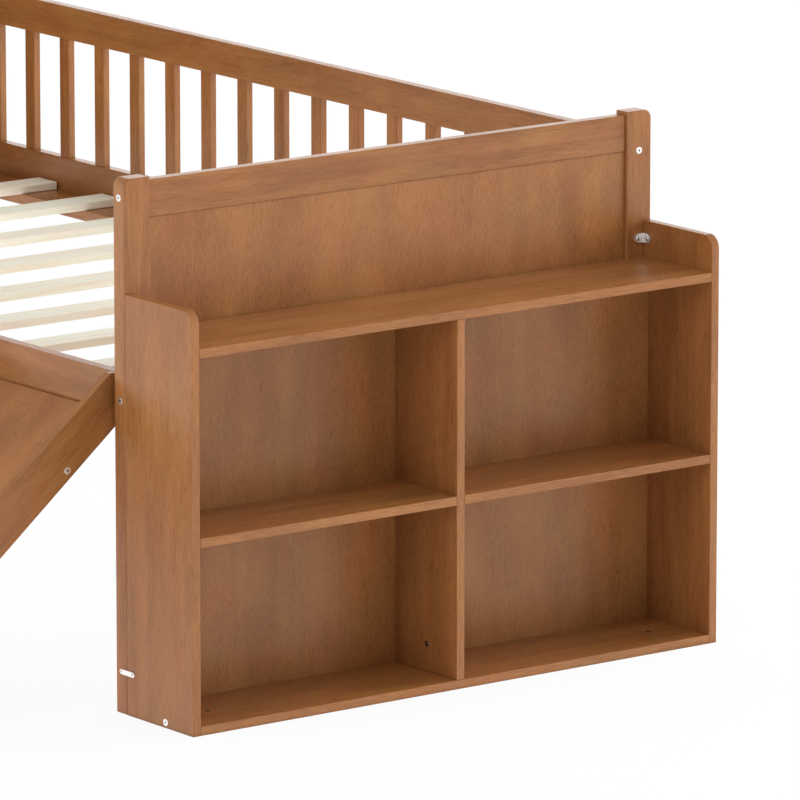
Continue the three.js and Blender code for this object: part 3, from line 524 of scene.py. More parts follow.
def finish_fitting(tree, given, fitting, finish):
    """Sets the fitting on every place, facing as the place does and turned at random about its axis."""
    facing = place(
        tree, "GeometryNodeInputNamedAttribute", {"Name": "facing"}, data_type="FLOAT_VECTOR",
    ).outputs[0]
    faced = place(tree, "FunctionNodeAlignRotationToVector", {"Vector": facing}, axis="Z").outputs[0]
    chance = place(tree, "FunctionNodeRandomValue", {"Seed": TURN_SEED}, data_type="FLOAT")
    chance.inputs[3].default_value = 2 * math.pi
    spin = place(tree, "ShaderNodeCombineXYZ", {"Z": chance.outputs[1]}).outputs[0]
    spun = place(tree, "FunctionNodeEulerToRotation", {0: spin}).outputs[0]
    turned = place(tree, "FunctionNodeRotateRotation", {0: faced, 1: spun}, rotation_space="LOCAL").outputs[0]
    set_out = place(tree, "GeometryNodeInstanceOnPoints", {
        "Points": given["Places"], "Instance": raised(tree, fitting, given["Proud"]), "Rotation": turned,
    }).outputs[0]
    real = place(tree, "GeometryNodeRealizeInstances", {0: set_out}).outputs[0]
    done = place(tree, "GeometryNodeSetMaterial", {"Geometry": real, "Material": finish}).outputs[0]
    place(tree, "NodeGroupOutput", {0: done})
    return tree


def build_bolt_head(finish):
    """A low round head with its rim cut back at 45 degrees and a hexagonal socket in its top."""
    tree, given = start_fitting("bolt_head", {
        "Radius": HEAD_RADIUS, "Height": HEAD_TALL, "Rim": HEAD_RIM, "Proud": HEAD_PROUD,
        "Socket Radius": SOCKET_RADIUS, "Socket Depth": SOCKET_DEEP,
    })
    tall = maths(tree, "ADD", given["Height"], given["Rim"])
    barrel = round_bar(tree, FITTING_SIDES, given["Radius"], tall, given["Rim"])
    top_radius = maths(tree, "SUBTRACT", given["Radius"], given["Rim"])
    cone = place(tree, "GeometryNodeMeshCone", {
        "Vertices": FITTING_SIDES, "Radius Top": top_radius,
        "Radius Bottom": maths(tree, "ADD", top_radius, tall), "Depth": tall,
    }).outputs[0]
    blank = overlap(tree, barrel, raised(tree, cone, maths(tree, "MULTIPLY", tall, -1.0)))
    twice_deep = maths(tree, "MULTIPLY", given["Socket Depth"], 2.0)
    socket = round_bar(tree, SOCKET_SIDES, given["Socket Radius"], twice_deep, given["Socket Depth"])
    head = cut_away(tree, blank, socket)
    # The socket's faces get painted shade.
    marked = mark_painted_shade(tree, head, given["Socket Radius"], PAINTED_SHADE_FROM)
    return finish_fitting(tree, given, marked, finish)


def build_barrel_nut(finish):
    """The end of a barrel nut: a thin rim, a dished face with a low boss in it, and a slot across both."""
    tree, given = start_fitting("barrel_nut", {
        "Radius": NUT_RADIUS, "Height": NUT_TALL, "Wall": NUT_WALL, "Dish": NUT_DISH, "Proud": PROUD,
        "Boss Radius": NUT_BOSS_RADIUS, "Boss Depth": NUT_BOSS_DEEP,
        "Slot Width": NUT_SLOT_WIDE, "Slot Depth": NUT_SLOT_DEEP,
    })
    body = round_bar(tree, FITTING_SIDES, given["Radius"], given["Height"], 0.0)
    dish_radius = maths(tree, "SUBTRACT", given["Radius"], given["Wall"])
    twice_dish = maths(tree, "MULTIPLY", given["Dish"], 2.0)
    dish = round_bar(tree, FITTING_SIDES, dish_radius, twice_dish, given["Dish"])
    slot_deep = maths(tree, "ADD", given["Dish"], given["Slot Depth"])
    slot_long = maths(tree, "MULTIPLY", dish_radius, NUT_SLOT_REACH)
    slot_size = place(tree, "ShaderNodeCombineXYZ", {
        "X": slot_long, "Y": given["Slot Width"], "Z": maths(tree, "MULTIPLY", slot_deep, 2.0),
    }).outputs[0]
    slot = place(tree, "GeometryNodeMeshCube", {"Size": slot_size}).outputs[0]
    boss_top = maths(tree, "MULTIPLY", given["Boss Depth"], -1.0)
    boss = round_bar(tree, FITTING_SIDES, given["Boss Radius"], given["Height"], boss_top)
    dished = cut_away(tree, body, cut_away(tree, dish, boss))
    nut = cut_away(tree, dished, slot)
    # The dish round the boss and the slot get painted shade.
    marked = mark_painted_shade(tree, nut, dish_radius, maths(tree, "ADD", boss_top, PAINTED_SHADE_FROM))
    return finish_fitting(tree, given, marked, finish)


def set_inputs(modifier, values):
    """Gives the modifier's tree these values, each by its input's name."""
    for socket in modifier.node_group.interface.items_tree:
        if socket.in_out == "INPUT" and socket.name in values:
            modifier[socket.identifier] = values[socket.name]


def set_fittings(name, tree, spots, sizes=None):
    """One piece with a fitting at each spot, given as a point and the way it faces."""
    mesh = bpy.data.meshes.new(name)
    mesh.from_pydata([tuple(point) for point, _ in spots], [], [])
    layer = mesh.attributes.new("facing", "FLOAT_VECTOR", "POINT")
    layer.data.foreach_set("vector", [value for _, facing in spots for value in facing])
    piece = new_piece(name, mesh)
    modifier = piece.modifiers.new(tree.name, "NODES")
    modifier.node_group = tree
    set_inputs(modifier, sizes or {})
    plain(piece)
    piece.data.shade_smooth()
    piece.data.set_sharp_from_angle(angle=CORNER_ANGLE)
    return fit(piece, zinc_steel, "zinc_steel")


bolt_head = build_bolt_head(zinc_steel)
barrel_nut = build_barrel_nut(zinc_steel)


def middle(node):
    low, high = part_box(node)
    return (low + high) / 2


end_bolts = []
end_nuts = []
for end in ("head", "foot"):
    for side, out in (("front", -CROSSWISE), ("rear", CROSSWISE)):
        post_low, post_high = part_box(f"post_{end}_{side}")
        face_y = post_low.y if side == "front" else post_high.y
        for rail in (f"{end}_top_rail", f"{end}_low_rail"):
            rail_low, rail_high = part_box(rail)
            height = middle(rail).z + BOLT_RISE
            end_bolts.append((Vector((middle(rail).x, face_y, height)), out))
            nut_y = rail_low.y + BARREL_INSET if side == "front" else rail_high.y - BARREL_INSET
            inner_x, inward = (rail_high.x, LENGTHWISE) if end == "head" else (rail_low.x, -LENGTHWISE)
            end_nuts.append((Vector((inner_x, nut_y, height)), inward))
set_fittings("end_frame_bolts", bolt_head, end_bolts)
set_fittings("end_frame_nuts", barrel_nut, end_nuts)

side_bolts = []
side_nuts = []
side_rises = (SIDE_BOLT_RISE - SIDE_BOLT_SPREAD, SIDE_BOLT_RISE + SIDE_BOLT_SPREAD)
for rail, rises in (
    ("side_rail_front", side_rises), ("side_rail_rear", side_rises), ("guard_rear_top_rail", (BOLT_RISE,)),
):
    rail_low, rail_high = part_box(rail)
    post_side = "front" if rail == "side_rail_front" else "rear"
    inner_y, inward = (rail_high.y, CROSSWISE) if post_side == "front" else (rail_low.y, -CROSSWISE)
    for rise in rises:
        height = middle(rail).z + rise
        for end, out in (("head", -LENGTHWISE), ("foot", LENGTHWISE)):
            post_low, post_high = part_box(f"post_{end}_{post_side}")
            face_x = post_low.x if end == "head" else post_high.x
            side_bolts.append((Vector((face_x, middle(rail).y, height)), out))
            nut_x = rail_low.x + BARREL_INSET if end == "head" else rail_high.x - BARREL_INSET
            side_nuts.append((Vector((nut_x, inner_y, height)), inward))
set_fittings("side_rail_bolts", bolt_head, side_bolts)
set_fittings("side_rail_nuts", barrel_nut, side_nuts)


# Slats
# Ten planed slats of pale pine lie across the ledgers. They are left bare, so they show the wood's own
# colour, its faint rings and a dry, matt surface.

SLAT_EASE = 0.0016
SLAT_COUNT = 10
SLAT_SEED = 11

pine_dark = (0.775, 0.715, 0.565, 1)
pine_mid = (0.850, 0.812, 0.685, 1)
pine_light = (0.895, 0.872, 0.765, 1)
# The lighter colour painted on the slats' rounded edges as a highlight.
pine_painted_highlight = (0.885, 0.856, 0.750, 1)


def build_board_row():
    """Geometry tree: a board repeated at equal steps, each copy cut from another part of the timber."""
    tree = bpy.data.node_groups.new("board_row", "GeometryNodeTree")
    for name, kind in (
        ("Board", "Geometry"), ("Count", "Int"), ("Step", "Vector"), ("Seed", "Int"), ("Finish", "Material"),
    ):
        tree.interface.new_socket(name, in_out="INPUT", socket_type=f"NodeSocket{kind}")
    tree.interface.new_socket("Row", in_out="OUTPUT", socket_type="NodeSocketGeometry")
    given = place(tree, "NodeGroupInput").outputs
    line = place(tree, "GeometryNodeMeshLine", {
        "Count": given["Count"], "Offset": given["Step"],
    }, mode="OFFSET").outputs[0]
    bare = place(tree, "GeometryNodeRemoveAttribute", {
        "Geometry": given["Board"], "Name": "shift",
    }).outputs[0]
    copies = place(tree, "GeometryNodeInstanceOnPoints", {"Points": line, "Instance": bare}).outputs[0]
    chance = place(tree, "FunctionNodeRandomValue", {"Seed": given["Seed"]}, data_type="FLOAT_VECTOR")
    chance.inputs[1].default_value = (SHIFT_RANGE,) * 3
    varied = place(tree, "GeometryNodeStoreNamedAttribute", {
        "Geometry": copies, "Name": "shift", "Value": chance.outputs[0],
    }, data_type="FLOAT_VECTOR", domain="INSTANCE").outputs[0]
    real = place(tree, "GeometryNodeRealizeInstances", {0: varied}).outputs[0]
    done = place(tree, "GeometryNodeSetMaterial", {"Geometry": real, "Material": given["Finish"]}).outputs[0]
    place(tree, "NodeGroupOutput", {0: done})
    return tree


board_row = build_board_row()


def repeat_board(piece, count, step, seed, finish):
    """Repeats a board along a step and leaves the whole row as one plain mesh."""
    modifier = piece.modifiers.new("row", "NODES")
    modifier.node_group = board_row
    set_inputs(modifier, {"Count": count, "Step": tuple(step), "Seed": seed, "Finish": finish})
    return plain(piece)


def make_row(name, node, count, ease, along, seed, finish, slot):
    """A row of like boards from the first one's solid."""
    nodes = [f"{node}_{number:02d}" for number in range(1, count + 1)]
    board = board_piece(name, copied_shape(nodes[0]), ease, along)
    step = (middle(nodes[-1]) - middle(nodes[0])) / (count - 1)
    row = repeat_board(board, count, step, seed, finish)
    return fit(shade(row), finish, slot, *nodes)


bare_wood = wood_finish(
    "bare_pine",
    {"Band Length": 0.5, "Band Width": 0.011, "Fibre Length": 0.05, "Fibre Width": 0.0016,
     "Pore Length": 0.012, "Pore Width": 0.0008, "Pore Amount": 0.04, "Waviness": 0.03,
     "Cloud Length": 0.25, "Cloud Width": 0.05},
    (pine_dark, pine_mid, pine_light), pine_painted_highlight,
    {"Bands": 0.42, "Fibres": 0.20, "Clouds": 0.18, "Board": 0.20},
    highlight_amount=0.3, gloss=(0.50, 0.66), bump=0.15,
)
make_row("slats", "slat", SLAT_COUNT, SLAT_EASE, CROSSWISE, SLAT_SEED, bare_wood, "bare_wood")


# Rear guard
# A top rail runs between the rear posts, and seventeen flat spindles are tenoned into it and into the side
# rail below. All of it is solid wood, finished as the posts are.

SPINDLE_EASE = 0.0016
SPINDLE_COUNT = 17
SPINDLE_SEED = 23

make_board("guard_rear_top_rail", RAIL_EASE, LENGTHWISE, stained_wood, "stained_wood")
make_row(
    "rear_guard_spindles", "guard_spindle", SPINDLE_COUNT, SPINDLE_EASE, UPRIGHT, SPINDLE_SEED,
    stained_wood, "stained_wood",
)


# Front guard
# One glued panel stands on the front rail between the ladder and the slide: a foot rail, a top rail and two
# stiles, with eight spindles let into the rails. Three screws through its foot rail hold it down.

GUARD_RAIL_TALL = 0.060
GUARD_FOOT_TALL = 0.030
GUARD_STILE_WIDE = 0.040
GUARD_SPINDLE_WIDE = 0.028
GUARD_SPINDLE_THICK = 0.014
GUARD_SPINDLES = 8
GUARD_SEED = 37
SPINDLE_LAP = 0.010
SCREW_RADIUS = 0.0048
SCREW_DOME = 0.0012
SCREW_CROSS_LONG = 0.0050
SCREW_CROSS_WIDE = 0.0011
SCREW_CROSS_DEEP = 0.0010
SCREW_RINGS = 12
CROSS_SHADED_FROM = 0.3


def box_shape(low, high):
    shape = bmesh.new()
    made = bmesh.ops.create_cube(shape, size=1)
    size = high - low
    for vertex in made["verts"]:
        vertex.co = low + Vector((vertex.co[axis] + 0.5) * size[axis] for axis in range(3))
    return shape


def joined(name, pieces):
    """Pieces that are glued together, as one piece."""
    with bpy.context.temp_override(
        active_object=pieces[0], object=pieces[0], selected_objects=pieces, selected_editable_objects=pieces,
    ):
        bpy.ops.object.join()
    pieces[0].name = name
    return pieces[0]


def build_screw_head(finish):
    """A low domed screw head with a cross cut in it."""
    tree, given = start_fitting("screw_head", {
        "Radius": SCREW_RADIUS, "Dome": SCREW_DOME, "Cross Length": SCREW_CROSS_LONG,
        "Cross Width": SCREW_CROSS_WIDE, "Cross Depth": SCREW_CROSS_DEEP, "Proud": PROUD,
    })
    ball = place(tree, "GeometryNodeMeshUVSphere", {
        "Segments": FITTING_SIDES, "Rings": SCREW_RINGS, "Radius": 1.0,
    }).outputs[0]
    size = place(tree, "ShaderNodeCombineXYZ", {
        "X": given["Radius"], "Y": given["Radius"], "Z": given["Dome"],
    }).outputs[0]
    dome = place(tree, "GeometryNodeTransform", {"Geometry": ball, "Scale": size}).outputs[0]
    deep = maths(tree, "MULTIPLY", given["Cross Depth"], 2.0)
    head = dome
    for along, across in (("X", "Y"), ("Y", "X")):
        bar_size = place(tree, "ShaderNodeCombineXYZ", {
            along: given["Cross Length"], across: given["Cross Width"], "Z": deep,
        }).outputs[0]
        bar = place(tree, "GeometryNodeMeshCube", {"Size": bar_size}).outputs[0]
        head = cut_away(tree, head, raised(tree, bar, given["Dome"]))
    shaded_down = maths(tree, "MULTIPLY", given["Cross Depth"], CROSS_SHADED_FROM)
    cross_floor = maths(tree, "SUBTRACT", given["Dome"], shaded_down)
    cross_reach = maths(tree, "MULTIPLY", given["Cross Length"], 0.5)
    # The floor and lower walls of the cross get painted shade.
    marked = mark_painted_shade(tree, head, cross_reach, cross_floor)
    return finish_fitting(tree, given, marked, finish)


screw_head = build_screw_head(zinc_steel)

guard_low, guard_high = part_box("guard_front_panel")
foot_top = guard_low.z + GUARD_FOOT_TALL
rail_base = guard_high.z - GUARD_RAIL_TALL
inner_low = guard_low.x + GUARD_STILE_WIDE
inner_high = guard_high.x - GUARD_STILE_WIDE
spindle_gap = (inner_high - inner_low - GUARD_SPINDLES * GUARD_SPINDLE_WIDE) / (GUARD_SPINDLES + 1)
guard_boards = []
for name, from_x, to_x, from_z, to_z, along in (
    ("guard_stile_a", guard_low.x, inner_low, guard_low.z, guard_high.z, UPRIGHT),
    ("guard_stile_b", inner_high, guard_high.x, guard_low.z, guard_high.z, UPRIGHT),
    ("guard_top", inner_low, inner_high, rail_base, guard_high.z, LENGTHWISE),
    ("guard_foot", inner_low, inner_high, guard_low.z, foot_top, LENGTHWISE),
):
    shape = box_shape(Vector((from_x, guard_low.y, from_z)), Vector((to_x, guard_high.y, to_z)))
    guard_boards.append(board_piece(name, shape, RAIL_EASE, along))
spindle_y = middle("guard_front_panel").y - GUARD_SPINDLE_THICK / 2
spindle_x = inner_low + spindle_gap
guard_spindle = board_piece("guard_spindle", box_shape(
    Vector((spindle_x, spindle_y, foot_top - SPINDLE_LAP)),
    Vector((spindle_x + GUARD_SPINDLE_WIDE, spindle_y + GUARD_SPINDLE_THICK, rail_base + SPINDLE_LAP)),
), SPINDLE_EASE, UPRIGHT)
spindle_step = LENGTHWISE * (GUARD_SPINDLE_WIDE + spindle_gap)
guard_spindles = repeat_board(guard_spindle, GUARD_SPINDLES, spindle_step, GUARD_SEED, stained_wood)
front_guard = joined("front_guard", [*guard_boards, guard_spindles])
fit(shade(front_guard), stained_wood, "stained_wood", "guard_front_panel")

guard_screws = []
for gap_number in (1, GUARD_SPINDLES / 2, GUARD_SPINDLES - 1):
    screw_x = inner_low + gap_number * (GUARD_SPINDLE_WIDE + spindle_gap) + spindle_gap / 2
    guard_screws.append((Vector((screw_x, middle("guard_front_panel").y, foot_top)), UPRIGHT))
set_fittings("guard_screws", screw_head, guard_screws)


# Slide
# A veneered sliding board runs in grooves between two solid sides, down from the front rail to the floor.
# Three bolts through each side hold the board's edges, and a screw from inside the rail holds each side.

SLIDE_EASE = 0.0015
SLIDE_ANGLE = math.radians(39.65)
SLIDE_LAND = 0.014
SLIDE_BED_BELOW = 0.0595
SLIDE_BOLT_FIRST = 0.1565
SLIDE_BOLT_PITCH = 0.240
SLIDE_BOLTS = 3
SLIDE_NUT_INSET = 0.060
SLIDE_BED_HALF = 0.006

down_slide = Vector((0, -math.cos(SLIDE_ANGLE), -math.sin(SLIDE_ANGLE)))
under_slide = Vector((0, math.sin(SLIDE_ANGLE), -math.cos(SLIDE_ANGLE)))
for end in ("foot", "head"):
    make_board(f"slide_side_{end}", SLIDE_EASE, down_slide, stained_wood, "stained_wood")
make_board("slide_bed", PANEL_EASE, down_slide, stained_panel, "stained_panel")

rail_low, rail_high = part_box("side_rail_front")
slide_top = Vector((0, rail_low.y - SLIDE_LAND, rail_high.z))
bed_low, bed_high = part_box("slide_bed")
slide_bolts = []
slide_nuts = []
for number in range(SLIDE_BOLTS):
    down = SLIDE_BOLT_FIRST + number * SLIDE_BOLT_PITCH
    spot = slide_top + down_slide * down + under_slide * SLIDE_BED_BELOW
    slide_bolts.append((Vector((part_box("slide_side_foot")[1].x, spot.y, spot.z)), LENGTHWISE))
    slide_bolts.append((Vector((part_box("slide_side_head")[0].x, spot.y, spot.z)), -LENGTHWISE))
    for nut_x in (bed_low.x + SLIDE_NUT_INSET, bed_high.x - SLIDE_NUT_INSET):
        slide_nuts.append((Vector((nut_x, spot.y, spot.z)) + under_slide * SLIDE_BED_HALF, under_slide))
set_fittings("slide_bolts", bolt_head, slide_bolts)
set_fittings("slide_nuts", barrel_nut, slide_nuts)


# Ladder
# Two solid stiles stand on the floor against the front rail, and two treads are housed between them.
# Like the slide's sides, the stiles are screwed from inside the rail.

STILE_EASE = 0.002
TREAD_EASE = 0.003

for end in ("head", "foot"):
    make_board(f"ladder_stile_{end}", STILE_EASE, UPRIGHT, stained_wood, "stained_wood")
for number in (1, 2):
    make_board(f"ladder_tread_{number}", TREAD_EASE, LENGTHWISE, stained_wood, "stained_wood")

ledger_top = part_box("ledger_front")[1].z
screw_z = (ledger_top + rail_high.z) / 2
hung_screws = [
    (Vector((middle(node).x, rail_high.y, screw_z)), CROSSWISE)
    for node in ("slide_side_foot", "slide_side_head", "ladder_stile_head", "ladder_stile_foot")
]
set_fittings("hung_screws", screw_head, hung_screws)


# Bookcase
# Veneered boards 15 mm thick: two sides with a rounded upper corner, a bottom, a top shelf set down
# between the sides, a divider and two middle shelves. A thin back panel slides in grooves behind them.

CASE_EASE = 0.0008
BACK_EASE = 0.0004

case_board = wood_finish(
    "walnut_stained_board",
    {"Band Length": 0.28, "Band Width": 0.014, "Fibre Length": 0.022, "Fibre Width": 0.0015,
     "Pore Length": 0.010, "Pore Width": 0.0008, "Pore Amount": 0.03, "Waviness": 0.008,
     "Cloud Length": 0.20, "Cloud Width": 0.040},
    (stained_dark, stained_mid, stained_light), stained_painted_highlight,
    {"Bands": 0.20, "Fibres": 0.42, "Clouds": 0.24, "Board": 0.06},
    highlight_amount=0.45, gloss=(0.26, 0.38), bump=0.10,
)
for side in ("front", "rear"):
    make_board(f"case_side_{side}", CASE_EASE, UPRIGHT, case_board, "stained_panel")
    make_board(f"case_shelf_{side}", CASE_EASE, CROSSWISE, case_board, "stained_panel")
for board in ("case_bottom", "case_top_shelf"):
    make_board(board, CASE_EASE, CROSSWISE, case_board, "stained_panel")
make_board("case_divider", CASE_EASE, UPRIGHT, case_board, "stained_panel")
make_board("case_back", BACK_EASE, UPRIGHT, stained_panel, "stained_panel")


# Bookcase fittings
# Bolts and barrel nuts hold the bottom to the sides and the divider. Bent steel brackets at the top and flat
# mending plates near the floor tie the case to the bed's posts, each with two screws.

CASE_BOLT_SETBACK = 0.075
CASE_BOLT_RISE = 0.002
CASE_NUT_INSET = 0.067
DIVIDER_BOLT_SETBACK = 0.080
DIVIDER_BOLT = {"Radius": 0.0050, "Proud": -0.0010}
DIVIDER_NUT_RISE = 0.045
BRACKET_THICK = 0.002
BRACKET_TALL = 0.016
BRACKET_HOLE = 0.012
BRACKET_WING = 0.020
BRACKET_BEND = 0.0025
BEND_STEPS = 6
BRACKET_SCREW = {"Radius": 0.0042, "Cross Length": 0.0042}
PLATE_LONG = 0.040
PLATE_TALL = 0.0083
PLATE_THICK = 0.0012
PLATE_PAST_SEAM = 0.0206
PLATE_RISE = 0.0688
PLATE_SCREW = {
    "Radius": 0.0030, "Dome": 0.0008, "Cross Length": 0.0032, "Cross Width": 0.0008, "Cross Depth": 0.0006,
}
PLATE_SCREW_INSET = 0.0048
STRIP_STEPS = 10
STRIP_TIP = 0.02

case_low, case_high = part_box("case_side_front")
rear_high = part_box("case_side_rear")[1]
bottom_low, bottom_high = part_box("case_bottom")
divider_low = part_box("case_divider")[0]
case_bolt_x = case_high.x - CASE_BOLT_SETBACK
divider_bolt_x = case_high.x - DIVIDER_BOLT_SETBACK
bottom_z = middle("case_bottom").z + CASE_BOLT_RISE
set_fittings("bookcase_bolts", bolt_head, [
    (Vector((case_bolt_x, case_low.y, bottom_z)), -CROSSWISE),
    (Vector((case_bolt_x, rear_high.y, bottom_z)), CROSSWISE),
])
set_fittings("divider_bolt", bolt_head, [
    (Vector((divider_bolt_x, middle("case_divider").y, bottom_low.z)), -UPRIGHT),
], DIVIDER_BOLT)
nut_spots = [
    (Vector((case_bolt_x, bottom_low.y + CASE_NUT_INSET, bottom_high.z)), UPRIGHT),
    (Vector((case_bolt_x, bottom_high.y - CASE_NUT_INSET, bottom_high.z)), UPRIGHT),
    (Vector((divider_bolt_x, divider_low.y, divider_low.z + DIVIDER_NUT_RISE)), -CROSSWISE),
]
set_fittings("bookcase_nuts", barrel_nut, nut_spots)


def steel_strip(name, path, width, thickness):
    """A strip of sheet steel with round ends, along a level path of points and outward normals."""
    distances = [0.0]
    for (a, _), (b, _) in zip(path, path[1:]):
        distances.append(distances[-1] + (b - a).length)
    radius = width / 2
    shape = bmesh.new()
    rings = []
    for (point, normal), along in zip(path, distances):
        short = max(radius - min(along, distances[-1] - along), 0)
        half = max(math.sqrt(radius ** 2 - short ** 2), radius * STRIP_TIP)
        rings.append([
            shape.verts.new(point + UPRIGHT * height + normal * depth)
            for height, depth in ((-half, 0), (half, 0), (half, thickness), (-half, thickness))
        ])
    for ring, following in zip(rings, rings[1:]):
        for corner in range(4):
            after = (corner + 1) % 4
            shape.faces.new((ring[corner], following[corner], following[after], ring[after]))
    shape.faces.new(rings[0])
    shape.faces.new(reversed(rings[-1]))
    bmesh.ops.recalc_face_normals(shape, faces=shape.faces)
    mesh = bpy.data.meshes.new(name)
    shape.to_mesh(mesh)
    shape.free()
    mesh.shade_smooth()
    mesh.set_sharp_from_angle(angle=CORNER_ANGLE)
    return new_piece(name, mesh)


def end_distances(length, radius):
    """Distances along a strip, close together where its ends are round."""
    quarter = [math.pi / 2 * step / STRIP_STEPS for step in range(STRIP_STEPS + 1)]
    curve = [radius * (1 - math.cos(angle)) for angle in quarter]
    return curve + [length - distance for distance in reversed(curve)]


def bracket_path(corner, outward):
    """From the end of the wing on the bookcase's side, round the bend, to the end of the one on the post."""
    leg = BRACKET_WING - BRACKET_BEND
    bend = BRACKET_BEND * math.pi / 2
    bend_stops = [leg + bend * step / BEND_STEPS for step in range(BEND_STEPS + 1)]
    path = []
    for stop in sorted(end_distances(2 * leg + bend, BRACKET_TALL / 2) + bend_stops):
        if stop <= leg:
            point = corner + LENGTHWISE * (BRACKET_WING - stop)
            normal = outward
        elif stop >= leg + bend:
            point = corner + outward * (BRACKET_BEND + stop - leg - bend)
            normal = LENGTHWISE
        else:
            angle = (stop - leg) / BRACKET_BEND
            centre = corner + (LENGTHWISE + outward) * BRACKET_BEND
            normal = outward * math.cos(angle) + LENGTHWISE * math.sin(angle)
            point = centre - normal * BRACKET_BEND
        path.append((point, normal))
    return path


small_screws = []
for side, outward in (("front", CROSSWISE), ("rear", -CROSSWISE)):
    node = f"case_bracket_{side}"
    low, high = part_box(node)
    corner = Vector((low.x, low.y if side == "front" else high.y, middle(node).z))
    bracket = steel_strip(f"{node}_steel", bracket_path(corner, outward), BRACKET_TALL, BRACKET_THICK)
    fit(bracket, zinc_steel, "zinc_steel", node)
    small_screws.append((corner + LENGTHWISE * BRACKET_HOLE + outward * BRACKET_THICK, outward))
    small_screws.append((corner + outward * BRACKET_HOLE + LENGTHWISE * BRACKET_THICK, LENGTHWISE))

plate_screws = []
for side, face_y, outward in (("front", case_low.y, -CROSSWISE), ("rear", rear_high.y, CROSSWISE)):
    end_x = case_low.x + PLATE_PAST_SEAM
    path = [
        (Vector((end_x - distance, face_y, PLATE_RISE)), outward)
        for distance in end_distances(PLATE_LONG, PLATE_TALL / 2)
    ]
    fit(steel_strip(f"mending_plate_{side}", path, PLATE_TALL, PLATE_THICK), zinc_steel, "zinc_steel")
    for screw_x in (end_x - PLATE_SCREW_INSET, end_x - PLATE_LONG + PLATE_SCREW_INSET):
        plate_screws.append((Vector((screw_x, face_y, PLATE_RISE)) + outward * PLATE_THICK, outward))
set_fittings("bracket_screws", screw_head, small_screws, BRACKET_SCREW)
set_fittings("plate_screws", screw_head, plate_screws, PLATE_SCREW)


# Room
# A plain white floor that runs out of sight, and soft white light that comes in low, most of it from the
# head and the rear. A broad lamp stands beyond each long side and behind the head, a small one before the
# foot, and a panel on the floor lights the undersides.

FLOOR_HALF = 120.0
FLOOR_SHADE = 0.92
FLOOR_GLOW = 0.92
HIGH_FROM = 0.10
HIGH_FULL = 0.55
HIGH_LIGHT = 0.80
HEAD_LIGHT = 3.2
REAR_LIGHT = 3.4
HIGH_MIRRORED = 0.4

floor_mesh = bpy.data.meshes.new("floor")
floor_mesh.from_pydata([
    (FLOOR_HALF * x, FLOOR_HALF * y, 0) for x, y in ((-1, -1), (1, -1), (1, 1), (-1, 1))
], [], [(0, 1, 2, 3)])
floor = new_piece("floor", floor_mesh)
paper = bpy.data.materials.new("white_floor")
tree = emptied(paper)
rays = place(tree, "ShaderNodeLightPath").outputs
seen = maths(tree, "MAXIMUM", rays["Is Camera Ray"], rays["Is Glossy Ray"])
seen = maths(tree, "MAXIMUM", seen, rays["Is Transmission Ray"])
glow_share = maths(tree, "MULTIPLY", seen, FLOOR_GLOW)
matt = place(tree, "ShaderNodeBsdfDiffuse", {"Color": (FLOOR_SHADE, FLOOR_SHADE, FLOOR_SHADE, 1)}).outputs[0]
glow = place(tree, "ShaderNodeEmission", {"Color": (1, 1, 1, 1), "Strength": 1.0}).outputs[0]
blend = place(tree, "ShaderNodeMixShader", {0: glow_share, 1: matt, 2: glow}).outputs[0]
place(tree, "ShaderNodeOutputMaterial", {"Surface": blend})
floor.data.materials.append(paper)

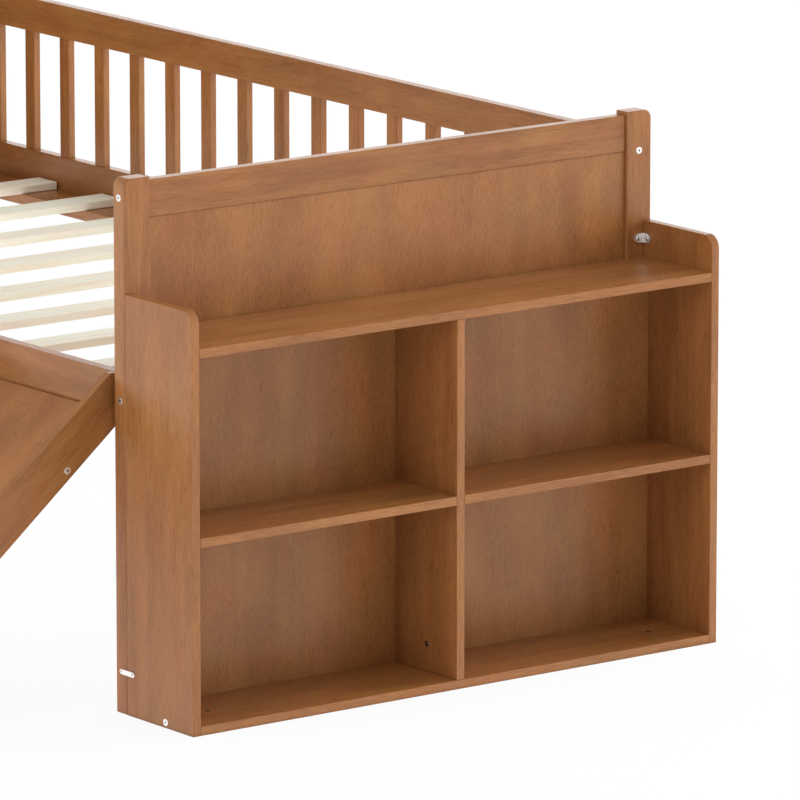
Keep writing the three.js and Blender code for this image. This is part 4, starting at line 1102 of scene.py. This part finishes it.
room = bpy.data.worlds.new("room")
bpy.context.scene.world = room
tree = emptied(room)
rays = place(tree, "ShaderNodeLightPath").outputs
around = place(tree, "ShaderNodeTexCoord").outputs["Generated"]
way = place(tree, "ShaderNodeSeparateXYZ", {0: around}).outputs
high = place(tree, "ShaderNodeMapRange", {
    "Value": way["Z"], "From Min": HIGH_FROM, "From Max": HIGH_FULL,
}, interpolation_type="SMOOTHSTEP").outputs[0]
low = maths(tree, "SUBTRACT", 1.0, high)
from_head = maths(tree, "MAXIMUM", maths(tree, "MULTIPLY", way["X"], -HEAD_LIGHT), 0.0)
from_rear = maths(tree, "MAXIMUM", maths(tree, "MULTIPLY", way["Y"], REAR_LIGHT), 0.0)
low_light = maths(tree, "MULTIPLY", low, maths(tree, "ADD", from_head, from_rear))
lighting = maths(tree, "ADD", low_light, maths(tree, "MULTIPLY", high, HIGH_LIGHT))
mirrored = place(tree, "ShaderNodeMapRange", {"Value": low, "To Min": HIGH_MIRRORED}).outputs[0]
unseen = place(tree, "ShaderNodeMix", {0: rays["Is Glossy Ray"], 2: lighting, 3: mirrored}).outputs[0]
seen = maths(tree, "MAXIMUM", rays["Is Camera Ray"], rays["Is Transmission Ray"])
strength = place(tree, "ShaderNodeMix", {0: seen, 2: unseen, 3: 1.0}).outputs[0]
sky = place(tree, "ShaderNodeBackground", {"Color": (1, 1, 1, 1), "Strength": strength}).outputs[0]
place(tree, "ShaderNodeOutputWorld", {"Surface": sky})


def soft_lamp(name, place_at, aim, width, height, power):
    data = bpy.data.lights.new(name, "AREA")
    data.shape = "RECTANGLE"
    data.size = width
    data.size_y = height
    data.energy = power
    lamp = bpy.data.objects.new(name, data)
    lamp.location = place_at
    lamp.rotation_mode = "QUATERNION"
    lamp.rotation_quaternion = (Vector(aim) - Vector(place_at)).to_track_quat("-Z", "Y")
    lamp.visible_camera = False
    bpy.context.scene.collection.objects.link(lamp)


soft_lamp("right_softbox", (1.9, 6.0, 1.8), aim=(0.9, 0.6, 0.5), width=3.0, height=2.4, power=220)
soft_lamp("left_softbox", (1.9, -6.0, 1.6), aim=(0.9, 0.0, 0.5), width=3.0, height=2.4, power=97)
soft_lamp("key_softbox", (1.9, 0.1, 1.95), aim=(0.8, 0.3, 0.7), width=0.8, height=0.8, power=5)
soft_lamp("floor_panel", (1.5, 0.0, 0.003), aim=(1.5, 0.0, 1.0), width=12.0, height=12.0, power=145)
soft_lamp("rear_softbox", (-5.2, 4.6, 1.9), aim=(0.3, 0.3, 0.6), width=6.0, height=1.6, power=40)

bpy.context.scene.view_settings.view_transform = "Standard"
